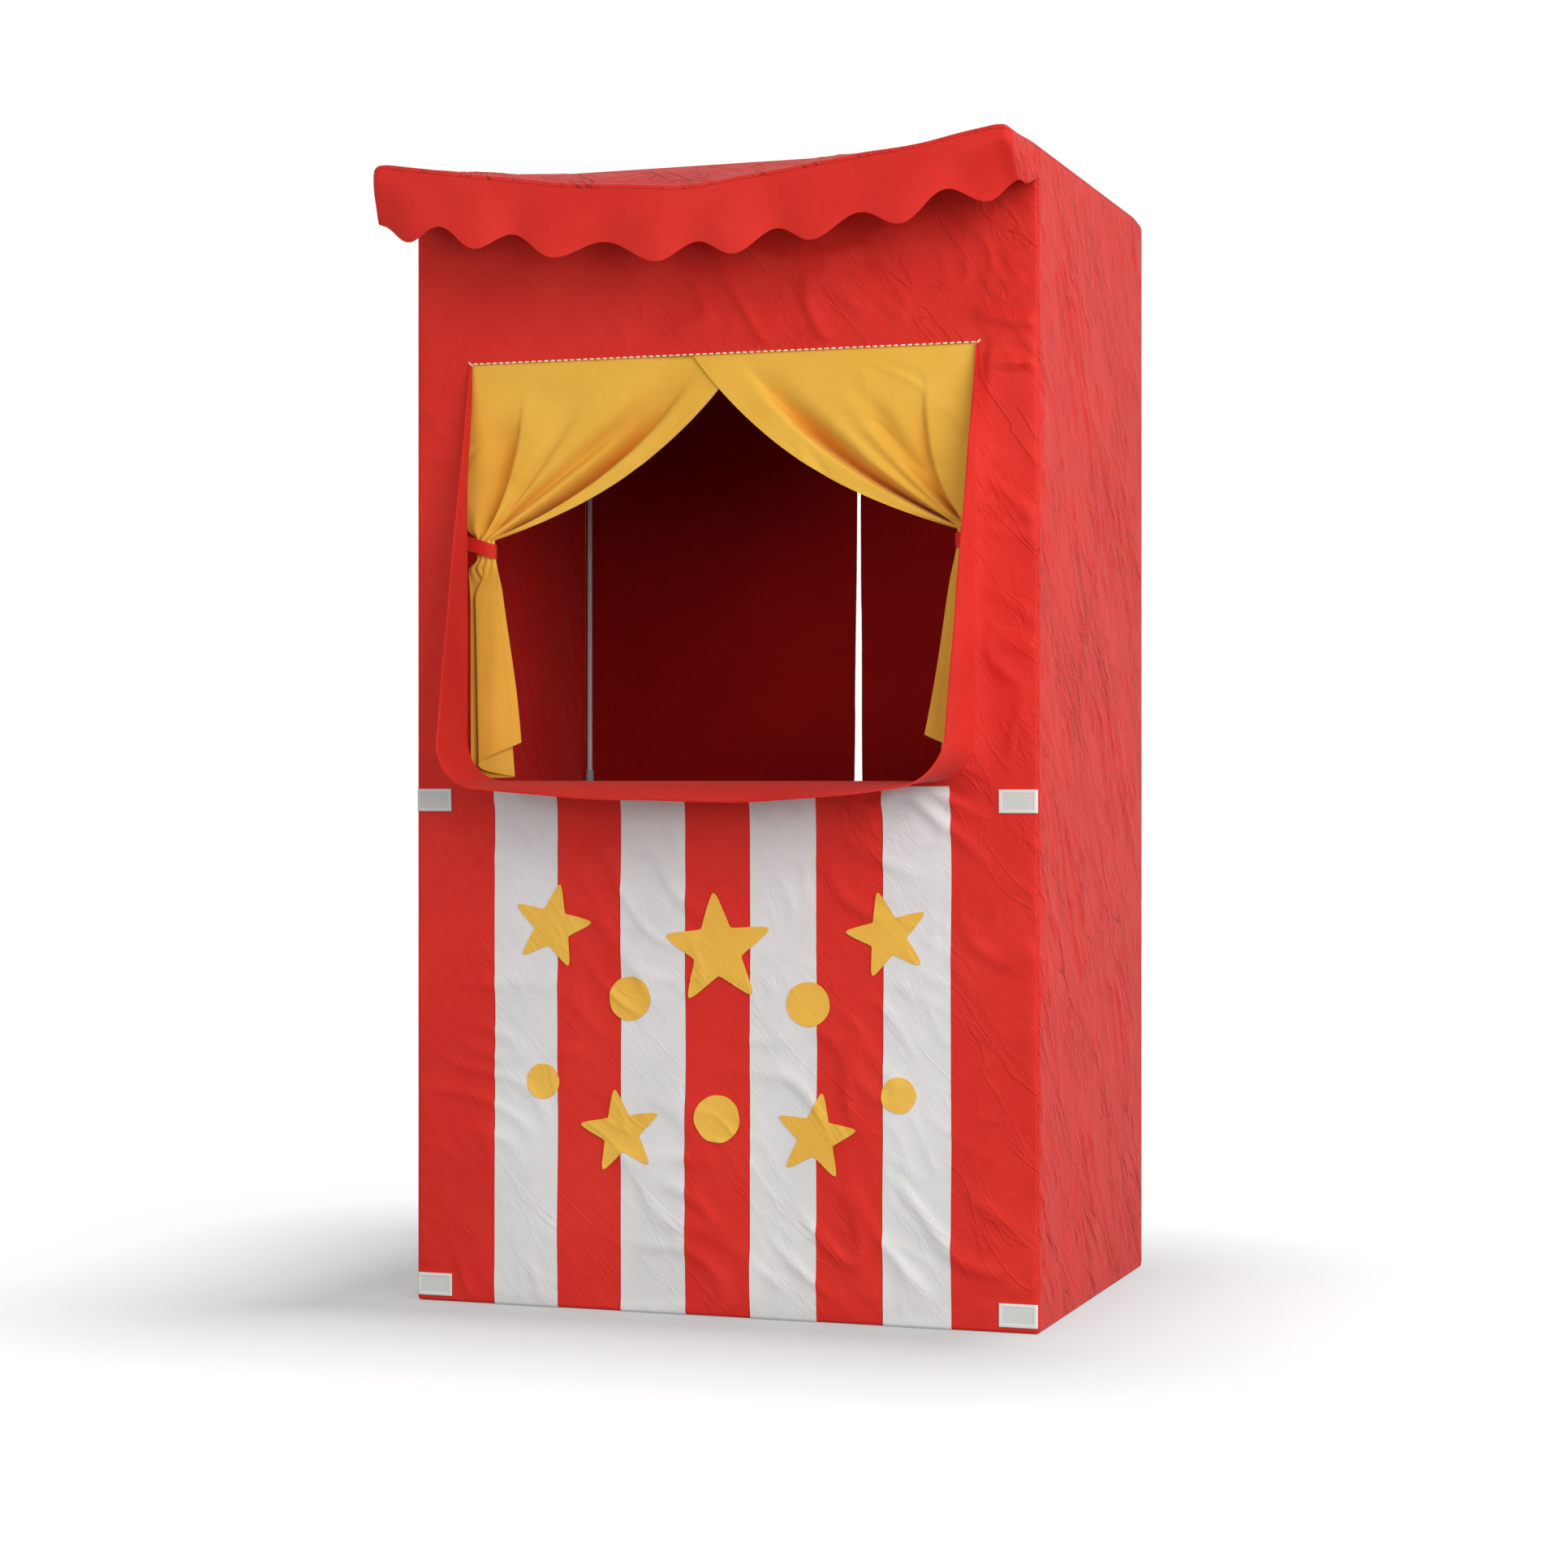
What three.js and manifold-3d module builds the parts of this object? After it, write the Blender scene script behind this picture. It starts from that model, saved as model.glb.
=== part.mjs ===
// Puppet theatre stand for children: a red cloth booth on a plug-together frame of thin steel tube.
// The front has a stage window with a flared cloth apron, two tied-back curtains, white stripes
// and four hook-tape patches. A scalloped awning hangs over it, and two cloth flaps close the back.
// Millimetres. X runs across the front, Y from the audience to the back, Z up from the floor.
// The origin is on the floor, in the middle between the awning's front and the back of the booth.

import * as THREE from "three";
import { mergeVertices } from "three/addons/utils/BufferGeometryUtils.js";
import Module from "manifold-3d";

const wasm = await Module();
wasm.setup();

// Driving dimensions of the cloth booth.
const coverWidth = 860;
const coverDepth = 600;
const coverHeight = 1500;
const awningReach = 140;
const clothThickness = 1.6;
const edgeRadius = 6;
const cornerExtra = 0.5; // upright corners are this much rounder than hems and roof edges
const hemReturn = 20; // cloth turned in under the bottom rails
const seamGap = 0.4; // between two pieces sewn edge to edge
const restGap = 0.4; // between cloth and the frame that it hangs on
const cutOverrun = 20; // how far a cutting shape runs past what it cuts

// Stage window.
const windowSideMargin = 80; // cloth left on each side of the window
const windowDrop = 247; // the window's upper edge below the roof
const windowHeight = 556;
const windowCornerRadius = 55;

// Stage apron, the cloth lip that flares out of the window.
const apronReach = 139;
const apronTopReach = 3;
const apronSag = 25;
const apronLean = 8; // the rim's lower corners lean in by this much

// Awning and valance.
const awningSag = 50;
const sagPower = 1.37;
const valanceDrop = 85;
const scallopDepth = 12; // half of the height from a scallop's tip to the notch beside it
const valanceWave = 7; // how far the valance swings in between its scallops
const valanceTuck = 32; // how far its lower corners are drawn back towards the booth
const straightShare = 0.2; // of the valance's height, over the ends of the arms
const wingFoot = 42; // how far down the booth the valance's side wings are sewn

// White stripes and hook-tape patches.
const stripeCount = 4;
const stripeSideMargin = 115; // red cloth outside the first and last stripes
const stripeTopDrop = 6; // the stripes' upper ends below the window sill
const stripeFoot = 1.2;
const stripeThickness = 0.8;
const patchWidth = 50;
const patchHeight = 30;
const patchThickness = 1.8;
const patchCornerRadius = 1.5;
const patchBorder = 4;
const patchRecess = 0.6;
const patchSideInset = 2;
const lowPatchHeight = 23;
const highPatchDrop = 25; // centre of an upper patch below the window sill

// Frame tubes and moulded connectors.
const tubeRadius = 4;
const tubeWall = 0.8;
const tubeFit = 0.3;
const hubRadius = 10;
const socketRadius = 5.7;
const socketRootRadius = 6.6;
const socketReach = 24;
const socketStop = 9;
const sillBarDrop = 3; // the sill bar's top below the window's lower edge

// Back flaps.
const flapBeadRadius = 2.2;
const flapHemWidth = 18;
const flapHemExtra = 0.5; // a folded hem stands this far out of each face
const flapFloorGap = 7;
const slitAtTop = 5;
const slitAtFloor = 18;

// Curtains and their ties.
const curtainThickness = 1.2;
const curtainHeader = 14; // cloth sewn to the panel above the window
const curtainSideLap = 6;
const curtainOverlap = 45; // past the middle, at the top
const curtainCross = 4; // the left curtain lies this far behind the right one where they cross
const tieDrop = 245; // the ties below the window's upper edge
const tieBandHeight = 19;
const tieThickness = 1.4;
const tieKnuckleRadius = 1.4;
const tieTab = 18;
const gatherWidth = 26;
const gatherDepth = 13;
const gatherSideGap = 4; // from the window's upright edge to the gathered cloth
const pleatDepth = 11;
const pleatCount = 4;
const tailSpread = 66;
const tailSideLap = 5;
const outerHemRise = 5; // a curtain's hem above the window sill, at the window's side
const innerHemRise = 51; // and at the free edge

// How finely round and draped shapes are cut into facets.
const tubeSides = 12;
const hubRings = 8;
const arcSteps = 3;
const windowSideColumns = 6;
const windowCornerColumns = 5;
const windowSillColumns = 16;
const apronRows = 3;
const awningColumns = 24;
const awningRows = 4;
const valanceColumns = 72;
const valanceRows = 4;
const sideValanceColumns = 6;
const curtainColumns = 28;
const curtainRows = 18;

// Places that several pieces share, worked out from the sizes above.
const halfWidth = coverWidth / 2;
const halfWindow = halfWidth - windowSideMargin;
const windowTop = coverHeight - windowDrop;
const windowSill = windowTop - windowHeight;
const tieHeight = windowTop - tieDrop;
const stripeWidth = (coverWidth - 2 * stripeSideMargin) / (2 * stripeCount - 1);
const postInset = clothThickness + restGap + hubRadius;
const flapFaceInset = flapBeadRadius + clothThickness / 2 + flapHemExtra;
const postX = halfWidth - postInset;
const frontPostY = postInset;
const rearPostY = coverDepth - flapFaceInset - restGap - hubRadius;
const awningEndY = postInset - awningReach;
const lowRailZ = postInset;
const sillBarZ = windowSill - sillBarDrop - tubeRadius;
const topRailZ = coverHeight - postInset;
const roofSeamZ = coverHeight - edgeRadius;
const sides = [
  { name: "left", sign: -1 },
  { name: "right", sign: 1 },
];

const redCloth = cloth(0xd2302b);
const whiteCloth = cloth(0xe6e3e2);
const yellowCloth = cloth(0xe5b247);
const hookTape = new THREE.MeshStandardMaterial({ color: 0xe4e8e3, roughness: 0.7 });
const steel = new THREE.MeshStandardMaterial({ color: 0x8f9093, roughness: 0.4, metalness: 0.8 });
const plastic = new THREE.MeshStandardMaterial({ color: 0x7b7c80, roughness: 0.5 });

function cloth(color) {
  return new THREE.MeshStandardMaterial({ color, roughness: 0.85, side: THREE.DoubleSide });
}

// A closed geometry as a solid that can be joined and cut.
function solidOf(geometry) {
  const bare = geometry.clone();
  bare.deleteAttribute("normal");
  bare.deleteAttribute("uv");
  const merged = mergeVertices(bare);
  return new wasm.Manifold(
    new wasm.Mesh({
      numProp: 3,
      vertProperties: new Float32Array(merged.attributes.position.array),
      triVerts: new Uint32Array(merged.index.array),
    }),
  );
}

function geometryOf(solid) {
  const mesh = solid.getMesh();
  const geometry = new THREE.BufferGeometry();
  geometry.setAttribute("position", new THREE.BufferAttribute(mesh.vertProperties, 3));
  geometry.setIndex(new THREE.BufferAttribute(mesh.triVerts, 1));
  return geometry;
}

function piece(name, shape, material) {
  const geometry = shape.isBufferGeometry ? shape : geometryOf(shape);
  const mesh = new THREE.Mesh(geometry, material);
  mesh.name = name;
  return mesh;
}

// The mirror image across the middle of the booth, for a piece drawn on the right side.
function onSide(geometry, sign) {
  if (sign > 0) return geometry;
  const flipped = geometry.index ? geometry.toNonIndexed() : geometry.clone();
  flipped.scale(-1, 1, 1);
  const xyz = flipped.attributes.position;
  const first = new THREE.Vector3();
  const second = new THREE.Vector3();
  for (let i = 0; i < xyz.count; i += 3) {
    first.fromBufferAttribute(xyz, i);
    second.fromBufferAttribute(xyz, i + 1);
    xyz.setXYZ(i, second.x, second.y, second.z);
    xyz.setXYZ(i + 1, first.x, first.y, first.z);
  }
  return flipped;
}

function boxBetween(low, high) {
  const size = high.map((edge, axis) => edge - low[axis]);
  const box = new THREE.BoxGeometry(...size);
  return box.translate(...size.map((length, axis) => low[axis] + length / 2));
}

function roundedRectangle(left, low, right, high, radius) {
  const outline = new THREE.Shape();
  outline.absarc(right - radius, low + radius, radius, -Math.PI / 2, 0, false);
  outline.absarc(right - radius, high - radius, radius, 0, Math.PI / 2, false);
  outline.absarc(left + radius, high - radius, radius, Math.PI / 2, Math.PI, false);
  outline.absarc(left + radius, low + radius, radius, Math.PI, Math.PI * 1.5, false);
  outline.closePath();
  return outline;
}

// A box with rounded upright corners and rounded top and bottom edges, moved in by inset all round.
function cushionBox(low, high, inset) {
  const [left, front, foot] = low.map((edge) => edge + inset);
  const [right, back, top] = high.map((edge) => edge - inset);
  const radius = edgeRadius - inset;
  const plan = roundedRectangle(left, front, right, back, radius + cornerExtra);
  const box = new THREE.ExtrudeGeometry(plan, {
    depth: top - foot - 2 * radius,
    bevelThickness: radius,
    bevelSize: radius,
    bevelOffset: -radius,
    bevelSegments: arcSteps,
    curveSegments: arcSteps,
  });
  return solidOf(box.translate(0, 0, foot + radius));
}

// A shape drawn in X and Z, given its thickness from nearY to farY.
function standingPlate(shape, nearY, farY, curveSegments = arcSteps) {
  const plate = new THREE.ExtrudeGeometry(shape, {
    depth: farY - nearY,
    bevelEnabled: false,
    curveSegments,
  });
  return plate.rotateX(Math.PI / 2).translate(0, farY, 0);
}

// Keeps what lies on the far side of a plane, in the direction of its normal.
function keepBeyond(solid, normal, distance) {
  return solid.trimByPlane(normal.toArray(), distance);
}

// A draped sheet: surface(u, v) moved half its thickness each way and closed along its four edges.
function drapedSheet(surface, columns, rows, thickness) {
  const step = 1e-3;
  const points = [];
  const faces = [];
  const rowLength = rows + 1;
  const backStart = (columns + 1) * rowLength;
  for (const offset of [thickness / 2, -thickness / 2]) {
    for (let i = 0; i <= columns; i += 1) {
      for (let j = 0; j <= rows; j += 1) {
        const u = i / columns;
        const v = j / rows;
        const across = surface(Math.min(u + step, 1), v).sub(surface(Math.max(u - step, 0), v));
        const down = surface(u, Math.min(v + step, 1)).sub(surface(u, Math.max(v - step, 0)));
        const normal = across.cross(down).normalize();
        points.push(...surface(u, v).addScaledVector(normal, offset).toArray());
      }
    }
  }
  const at = (i, j) => i * rowLength + j;
  for (let i = 0; i < columns; i += 1) {
    for (let j = 0; j < rows; j += 1) {
      const [a, b, c, d] = [at(i, j), at(i + 1, j), at(i + 1, j + 1), at(i, j + 1)];
      faces.push(a, b, c, a, c, d);
      faces.push(a + backStart, c + backStart, b + backStart);
      faces.push(a + backStart, d + backStart, c + backStart);
    }
  }
  const rim = [];
  for (let i = 0; i < columns; i += 1) rim.push(at(i, 0));
  for (let j = 0; j < rows; j += 1) rim.push(at(columns, j));
  for (let i = columns; i > 0; i -= 1) rim.push(at(i, rows));
  for (let j = rows; j > 0; j -= 1) rim.push(at(0, j));
  rim.forEach((near, index) => {
    const next = rim[(index + 1) % rim.length];
    faces.push(next, near, near + backStart, next, near + backStart, next + backStart);
  });
  const sheet = new THREE.BufferGeometry();
  sheet.setAttribute("position", new THREE.Float32BufferAttribute(points, 3));
  sheet.setIndex(faces);
  return sheet;
}

// Frame: hubs at the corners and at sill height, joined by tubes that seat in their sockets.
function socketPart(direction, rootRadius, endRadius, from, to) {
  const barrel = new THREE.CylinderGeometry(endRadius, rootRadius, to - from, tubeSides);
  barrel.translate(0, (from + to) / 2, 0);
  const turn = new THREE.Quaternion().setFromUnitVectors(new THREE.Vector3(0, 1, 0), direction);
  return solidOf(barrel.applyQuaternion(turn));
}

function connector(directions) {
  let body = solidOf(new THREE.SphereGeometry(hubRadius, tubeSides, hubRings));
  for (const direction of directions) {
    body = body.add(socketPart(direction, socketRootRadius, socketRadius, 0, socketReach));
  }
  const bore = tubeRadius + tubeFit;
  for (const direction of directions) {
    body = body.subtract(socketPart(direction, bore, bore, socketStop, socketReach + cutOverrun));
  }
  return body;
}

function frameTube(name, from, to) {
  const along = to.clone().sub(from).normalize();
  const ring = new THREE.Shape().absarc(0, 0, tubeRadius, 0, Math.PI * 2, false);
  ring.holes.push(new THREE.Path().absarc(0, 0, tubeRadius - tubeWall, 0, Math.PI * 2, true));
  const seat = socketStop + tubeFit;
  const tube = new THREE.ExtrudeGeometry(ring, {
    depth: from.distanceTo(to) - 2 * seat,
    bevelEnabled: false,
    curveSegments: tubeSides / 2,
  });
  const mesh = piece(name, tube, steel);
  mesh.quaternion.setFromUnitVectors(new THREE.Vector3(0, 0, 1), along);
  mesh.position.copy(from).addScaledVector(along, seat);
  return mesh;
}

function buildFrame() {
  const frame = new THREE.Group();
  const up = new THREE.Vector3(0, 0, 1);
  const down = up.clone().negate();
  const back = new THREE.Vector3(0, 1, 0);
  const forward = back.clone().negate();
  const levels = [
    { name: "bottom", z: lowRailZ, ways: [up] },
    { name: "sill", z: sillBarZ, ways: [up, down] },
    { name: "top", z: topRailZ, ways: [down] },
  ];
  const rows = [
    { name: "front", y: frontPostY, ways: [back] },
    { name: "rear", y: rearPostY, ways: [forward] },
  ];
  const hubAt = (sign, row, level) => new THREE.Vector3(sign * postX, row.y, level.z);

  for (const { name: side, sign } of sides) {
    const inward = new THREE.Vector3(-sign, 0, 0);
    for (const row of rows) {
      for (const level of levels) {
        const hasCrossRail = row.name === "front" || level.name !== "sill";
        const hasArm = row.name === "front" && level.name === "top";
        const ways = [...level.ways, ...row.ways];
        if (hasCrossRail) ways.push(inward);
        if (hasArm) ways.push(forward);
        const hub = piece(`connector_${level.name}_${row.name}_${side}`, connector(ways), plastic);
        hub.position.copy(hubAt(sign, row, level));
        frame.add(hub);
      }
      const [low, middle, high] = levels.map((level) => hubAt(sign, row, level));
      frame.add(frameTube(`post_lower_${row.name}_${side}`, low, middle));
      frame.add(frameTube(`post_upper_${row.name}_${side}`, middle, high));
    }
    for (const level of levels) {
      const [near, far] = rows.map((row) => hubAt(sign, row, level));
      frame.add(frameTube(`side_rail_${level.name}_${side}`, near, far));
    }
    const armRoot = hubAt(sign, rows[0], levels[2]);
    const armEnd = new THREE.Vector3(sign * postX, awningEndY, topRailZ);
    const endBall = piece(`awning_arm_end_${side}`, connector([back]), plastic);
    endBall.position.copy(armEnd);
    frame.add(endBall, frameTube(`awning_arm_${side}`, armEnd, armRoot));
  }
  for (const row of rows) {
    for (const level of levels) {
      if (row.name === "rear" && level.name === "sill") continue;
      const [left, right] = sides.map(({ sign }) => hubAt(sign, row, level));
      frame.add(frameTube(`cross_rail_${level.name}_${row.name}`, left, right));
    }
  }
  return frame;
}

// Cover: one booth-shaped shell of cloth, cut along its seams into front, sides and roof.
function boothShell(frontOverrun, backOverrun, topOverrun, footOverrun) {
  const low = [-halfWidth, -frontOverrun, -footOverrun];
  const high = [halfWidth, coverDepth + backOverrun, coverHeight + topOverrun];
  return cushionBox(low, high, 0).subtract(cushionBox(low, high, clothThickness));
}

// Keeps the front's or the side's share of a shell at one front corner, up to the 45 degree seam.
function splitAtCorner(shell, sign, keepFront) {
  const normal = new THREE.Vector3(-sign, -1, 0).normalize();
  const seam = -halfWidth * Math.SQRT1_2;
  if (keepFront) return keepBeyond(shell, normal, seam + seamGap / 2);
  return keepBeyond(shell, normal.negate(), -seam + seamGap / 2);
}

function windowOutline() {
  const cornerX = halfWindow - windowCornerRadius;
  const cornerZ = windowSill + windowCornerRadius;
  const outline = new THREE.Shape();
  outline.moveTo(halfWindow, windowTop);
  outline.lineTo(-halfWindow, windowTop);
  outline.absarc(-cornerX, cornerZ, windowCornerRadius, Math.PI, Math.PI * 1.5, false);
  outline.absarc(cornerX, cornerZ, windowCornerRadius, -Math.PI / 2, 0, false);
  outline.closePath();
  return outline;
}

function buildCover() {
  const cover = new THREE.Group();
  const hemOpening = boxBetween(
    [hemReturn - halfWidth, hemReturn, -cutOverrun],
    [halfWidth - hemReturn, coverDepth + 2 * cutOverrun, clothThickness + restGap],
  );
  const walls = boothShell(0, cutOverrun, cutOverrun, 0).subtract(solidOf(hemOpening));

  const underRoof = cushionBox(
    [-halfWidth, -cutOverrun, -cutOverrun],
    [halfWidth, coverDepth, coverHeight],
    clothThickness + seamGap,
  );
  const down = new THREE.Vector3(0, 0, -1);
  const forward = new THREE.Vector3(0, -1, 0);
  const wall = splitAtCorner(splitAtCorner(walls, 1, true), -1, true);
  const cut = standingPlate(windowOutline(), -cutOverrun, cutOverrun, windowCornerColumns);
  const stage = solidOf(cut);
  let front = keepBeyond(wall, down, seamGap - roofSeamZ).add(wall.intersect(underRoof));
  for (const { sign } of sides) {
    const clear = socketRootRadius + seamGap;
    const armHole = socketPart(forward, clear, clear, -cutOverrun, cutOverrun);
    front = front.subtract(armHole.translate([sign * postX, 0, topRailZ]));
  }
  cover.add(piece("cover_front", front.subtract(stage), redCloth));

  for (const { name, sign } of sides) {
    const half = keepBeyond(splitAtCorner(walls, sign, false), new THREE.Vector3(sign, 0, 0), 0);
    const below = keepBeyond(half, down, seamGap - roofSeamZ);
    const rearEdge = coverDepth - 2 * flapBeadRadius - seamGap;
    cover.add(piece(`cover_${name}`, keepBeyond(below, forward, -rearEdge), redCloth));
  }

  const lid = keepBeyond(boothShell(cutOverrun, 0, 0, 0), down.clone().negate(), roofSeamZ);
  cover.add(piece("cover_roof", keepBeyond(lid, forward.clone().negate(), seamGap / 2), redCloth));
  cover.add(...buildStripes(), ...buildPatches());
  return cover;
}

// A layer over the whole booth, between two distances outside its cloth.
function layerOver(near, far) {
  const low = [-halfWidth, 0, 0];
  const high = [halfWidth, coverDepth, coverHeight];
  return cushionBox(low, high, -far).subtract(cushionBox(low, high, -near));
}

function buildStripes() {
  const skin = layerOver(seamGap, seamGap + stripeThickness);
  const pitch = 2 * stripeWidth;
  return Array.from({ length: stripeCount }, (_, index) => {
    const left = (index - (stripeCount - 1) / 2) * pitch - stripeWidth / 2;
    const window = boxBetween(
      [left, -cutOverrun, stripeFoot],
      [left + stripeWidth, edgeRadius, windowSill - stripeTopDrop],
    );
    return piece(`white_stripe_${index + 1}`, skin.intersect(solidOf(window)), whiteCloth);
  });
}

function buildPatches() {
  const halfHigh = patchHeight / 2;
  const outer = halfWidth - patchSideInset;
  const inner = outer - patchWidth;
  const tapeFace = seamGap + patchThickness;
  const skin = layerOver(seamGap, tapeFace);
  const overField = layerOver(tapeFace - patchRecess, tapeFace + cutOverrun);
  const levels = [
    { name: "upper", z: windowSill - highPatchDrop },
    { name: "lower", z: lowPatchHeight },
  ];
  return sides.flatMap(({ name, sign }) =>
    levels.map((level) => {
      const low = level.z - halfHigh;
      const high = level.z + halfHigh;
      const tape = roundedRectangle(inner, low, outer, high, patchCornerRadius);
      const slab = skin.intersect(solidOf(standingPlate(tape, -cutOverrun, edgeRadius)));
      const field = boxBetween(
        [inner + patchBorder, -cutOverrun, low + patchBorder],
        [outer - patchBorder, edgeRadius, high - patchBorder],
      );
      const patch = slab.subtract(overField.intersect(solidOf(field)));
      return piece(`hook_patch_${level.name}_${name}`, onSide(geometryOf(patch), sign), hookTape);
    }),
  );
}

// Stage apron: the window's outline carried forward, further the lower it is, with a sagging rim.
// Its spans run down the left side, along the sill and up the right side.
function apronSpans() {
  const inset = seamGap + clothThickness / 2;
  const edge = halfWindow - inset;
  const radius = windowCornerRadius - inset;
  const sill = windowSill + inset;
  const top = windowTop - inset;
  const cornerX = edge - radius;
  const cornerZ = sill + radius;
  const line = (fromX, fromZ, toX, toZ) =>
    new THREE.LineCurve(new THREE.Vector2(fromX, fromZ), new THREE.Vector2(toX, toZ));
  const corner = (x, from) => new THREE.EllipseCurve(x, cornerZ, radius, radius, from, from + turn);
  const turn = Math.PI / 2;
  return [
    { curve: line(-edge, top, -edge, cornerZ), columns: windowSideColumns },
    { curve: corner(-cornerX, Math.PI), columns: windowCornerColumns },
    { curve: line(-cornerX, sill, cornerX, sill), columns: windowSillColumns },
    { curve: corner(cornerX, -turn), columns: windowCornerColumns },
    { curve: line(edge, cornerZ, edge, top), columns: windowSideColumns },
  ];
}

const apronOutline = apronSpans();
const apronColumns = apronOutline.reduce((sum, span) => sum + span.columns, 0);

function onApronOutline(u) {
  let column = u * apronColumns;
  let index = 0;
  while (index < apronOutline.length - 1 && column > apronOutline[index].columns) {
    column -= apronOutline[index].columns;
    index += 1;
  }
  const span = apronOutline[index];
  return span.curve.getPoint(Math.min(1, column / span.columns));
}

function apronPoint(u, v) {
  const onPath = onApronOutline(u);
  const lowShare = (windowTop - onPath.y) / (windowTop - windowSill);
  const reach = THREE.MathUtils.lerp(apronTopReach, apronReach, lowShare);
  const middleShare = 1 - (onPath.x / halfWindow) ** 2;
  const sag = apronSag * middleShare * v * v * THREE.MathUtils.smoothstep(lowShare, 0.8, 1);
  const lean = apronLean * v * lowShare * (onPath.x / halfWindow);
  const y = THREE.MathUtils.lerp(clothThickness, -reach, v);
  return new THREE.Vector3(onPath.x - lean, y, onPath.y - sag);
}

function buildApron() {
  const lip = drapedSheet(apronPoint, apronColumns, apronRows, clothThickness);
  return piece("stage_apron", lip, redCloth);
}

// Awning: a sheet over the two arms that sags between them, and a scalloped valance sewn under it.
// Shares of the half width at which the tips of the scallops hang.
const scallopTipShares = [-0.89, -0.66, -0.41, -0.08, 0.17, 0.41, 0.68, 0.91];

const sagHalfSpan = postX - hubRadius;

function awningSagAt(x) {
  return awningSag * (1 - Math.min(1, Math.abs(x) / sagHalfSpan) ** sagPower);
}

// Runs from one scallop to the next: a whole number at each tip, a half between two tips.
function scallopPhase(x) {
  const tips = scallopTipShares.map((share) => share * halfWidth);
  const lead = tips[0] + halfWidth;
  const tail = halfWidth - tips[tips.length - 1];
  if (x <= tips[0]) return -(tips[0] - x) / (2 * lead);
  const next = tips.findIndex((tip) => tip > x);
  if (next < 0) return tips.length - 1 + (x - tips[tips.length - 1]) / (2 * tail);
  return next - 1 + (x - tips[next - 1]) / (tips[next] - tips[next - 1]);
}

// Along a sheet with rounded lips at one or both ends: the angle round a lip, or the flat share.
function lipAngle(share, lipShare) {
  return THREE.MathUtils.clamp((share - 1 + lipShare) / lipShare, 0, 1) * (Math.PI / 2);
}

function awningPoint(u, v) {
  const lipRadius = edgeRadius - clothThickness / 2;
  const columnShare = 2 / awningColumns;
  const lipU = arcSteps * columnShare;
  const lipV = arcSteps / (awningRows + arcSteps);
  const half = 2 * u - 1;
  const sideAngle = lipAngle(Math.abs(half), lipU);
  const frontAngle = lipAngle(v, lipV);
  const slackU = 1 - lipU - columnShare;
  const overArm = THREE.MathUtils.clamp((Math.abs(half) - slackU) / columnShare, 0, 1);
  const slackX = Math.min(Math.abs(half) / slackU, 1) * sagHalfSpan;
  const flatX = slackX + overArm * (halfWidth - edgeRadius - sagHalfSpan);
  const flatY = THREE.MathUtils.lerp(
    seamGap / 2,
    awningReach - edgeRadius,
    Math.min(v / (1 - lipV), 1),
  );
  const x = Math.sign(half) * (flatX + lipRadius * Math.sin(sideAngle));
  const y = -(flatY + lipRadius * Math.sin(frontAngle));
  const crown = lipRadius * Math.cos(sideAngle) * Math.cos(frontAngle);
  const sag = awningSagAt(x) * Math.min(1, -y / (awningReach - edgeRadius));
  return new THREE.Vector3(x, y, roofSeamZ + crown - sag);
}

// How far a lower corner of the valance has swung back, at a share of the way down.
function cornerTuck(v) {
  return valanceTuck * (Math.max(0, v - straightShare) / (1 - straightShare)) ** 1.3;
}

function frontValancePoint(u, v) {
  const edge = halfWidth - clothThickness / 2;
  const x = THREE.MathUtils.lerp(-edge, edge, u);
  const swing = 0.5 - 0.5 * Math.cos(2 * Math.PI * scallopPhase(x));
  const held = 1 - Math.abs(x / halfWidth) ** 4;
  const atCorner = THREE.MathUtils.smoothstep(Math.abs(x / halfWidth), 0.75, 1);
  const swungBack = valanceWave * swing * held * v + cornerTuck(v) * atCorner;
  const y = clothThickness / 2 - awningReach + swungBack;
  const sag = awningSagAt(x);
  const top = roofSeamZ - seamGap - sag;
  const drop = valanceDrop + scallopDepth * Math.cos(2 * Math.PI * scallopPhase(x));
  return new THREE.Vector3(x, y, THREE.MathUtils.lerp(top, coverHeight - sag - drop, v));
}

function sideValance(sign) {
  const surface = (u, v) => {
    const corner = clothThickness / 2 - awningReach + cornerTuck(v);
    const y = THREE.MathUtils.lerp(corner, -seamGap, u);
    const drop = THREE.MathUtils.lerp(valanceDrop - scallopDepth, wingFoot, u ** 1.4);
    const z = THREE.MathUtils.lerp(roofSeamZ - seamGap, coverHeight - drop, v);
    return new THREE.Vector3(halfWidth - clothThickness / 2, y, z);
  };
  return onSide(drapedSheet(surface, sideValanceColumns, valanceRows, clothThickness), sign);
}

function buildAwning() {
  const rows = awningRows + arcSteps;
  let top = solidOf(drapedSheet(awningPoint, awningColumns, rows, clothThickness));
  let valance = solidOf(
    drapedSheet(frontValancePoint, valanceColumns, valanceRows, clothThickness),
  );
  const corner = boxBetween(
    [sagHalfSpan, -awningReach - cutOverrun, roofSeamZ - cutOverrun],
    [halfWidth + cutOverrun, cutOverrun, roofSeamZ],
  );
  for (const { sign } of sides) {
    valance = valance.add(solidOf(sideValance(sign)));
    top = top.subtract(solidOf(onSide(corner, sign)));
  }
  return [piece("awning", top, redCloth), piece("awning_valance", valance, redCloth)];
}

// Back flaps: flat cloth with hemmed edges, hung on a corded seam at each rear corner.
const flapFaceY = coverDepth - flapBeadRadius;
const flapHingeX = halfWidth - flapBeadRadius;

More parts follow.
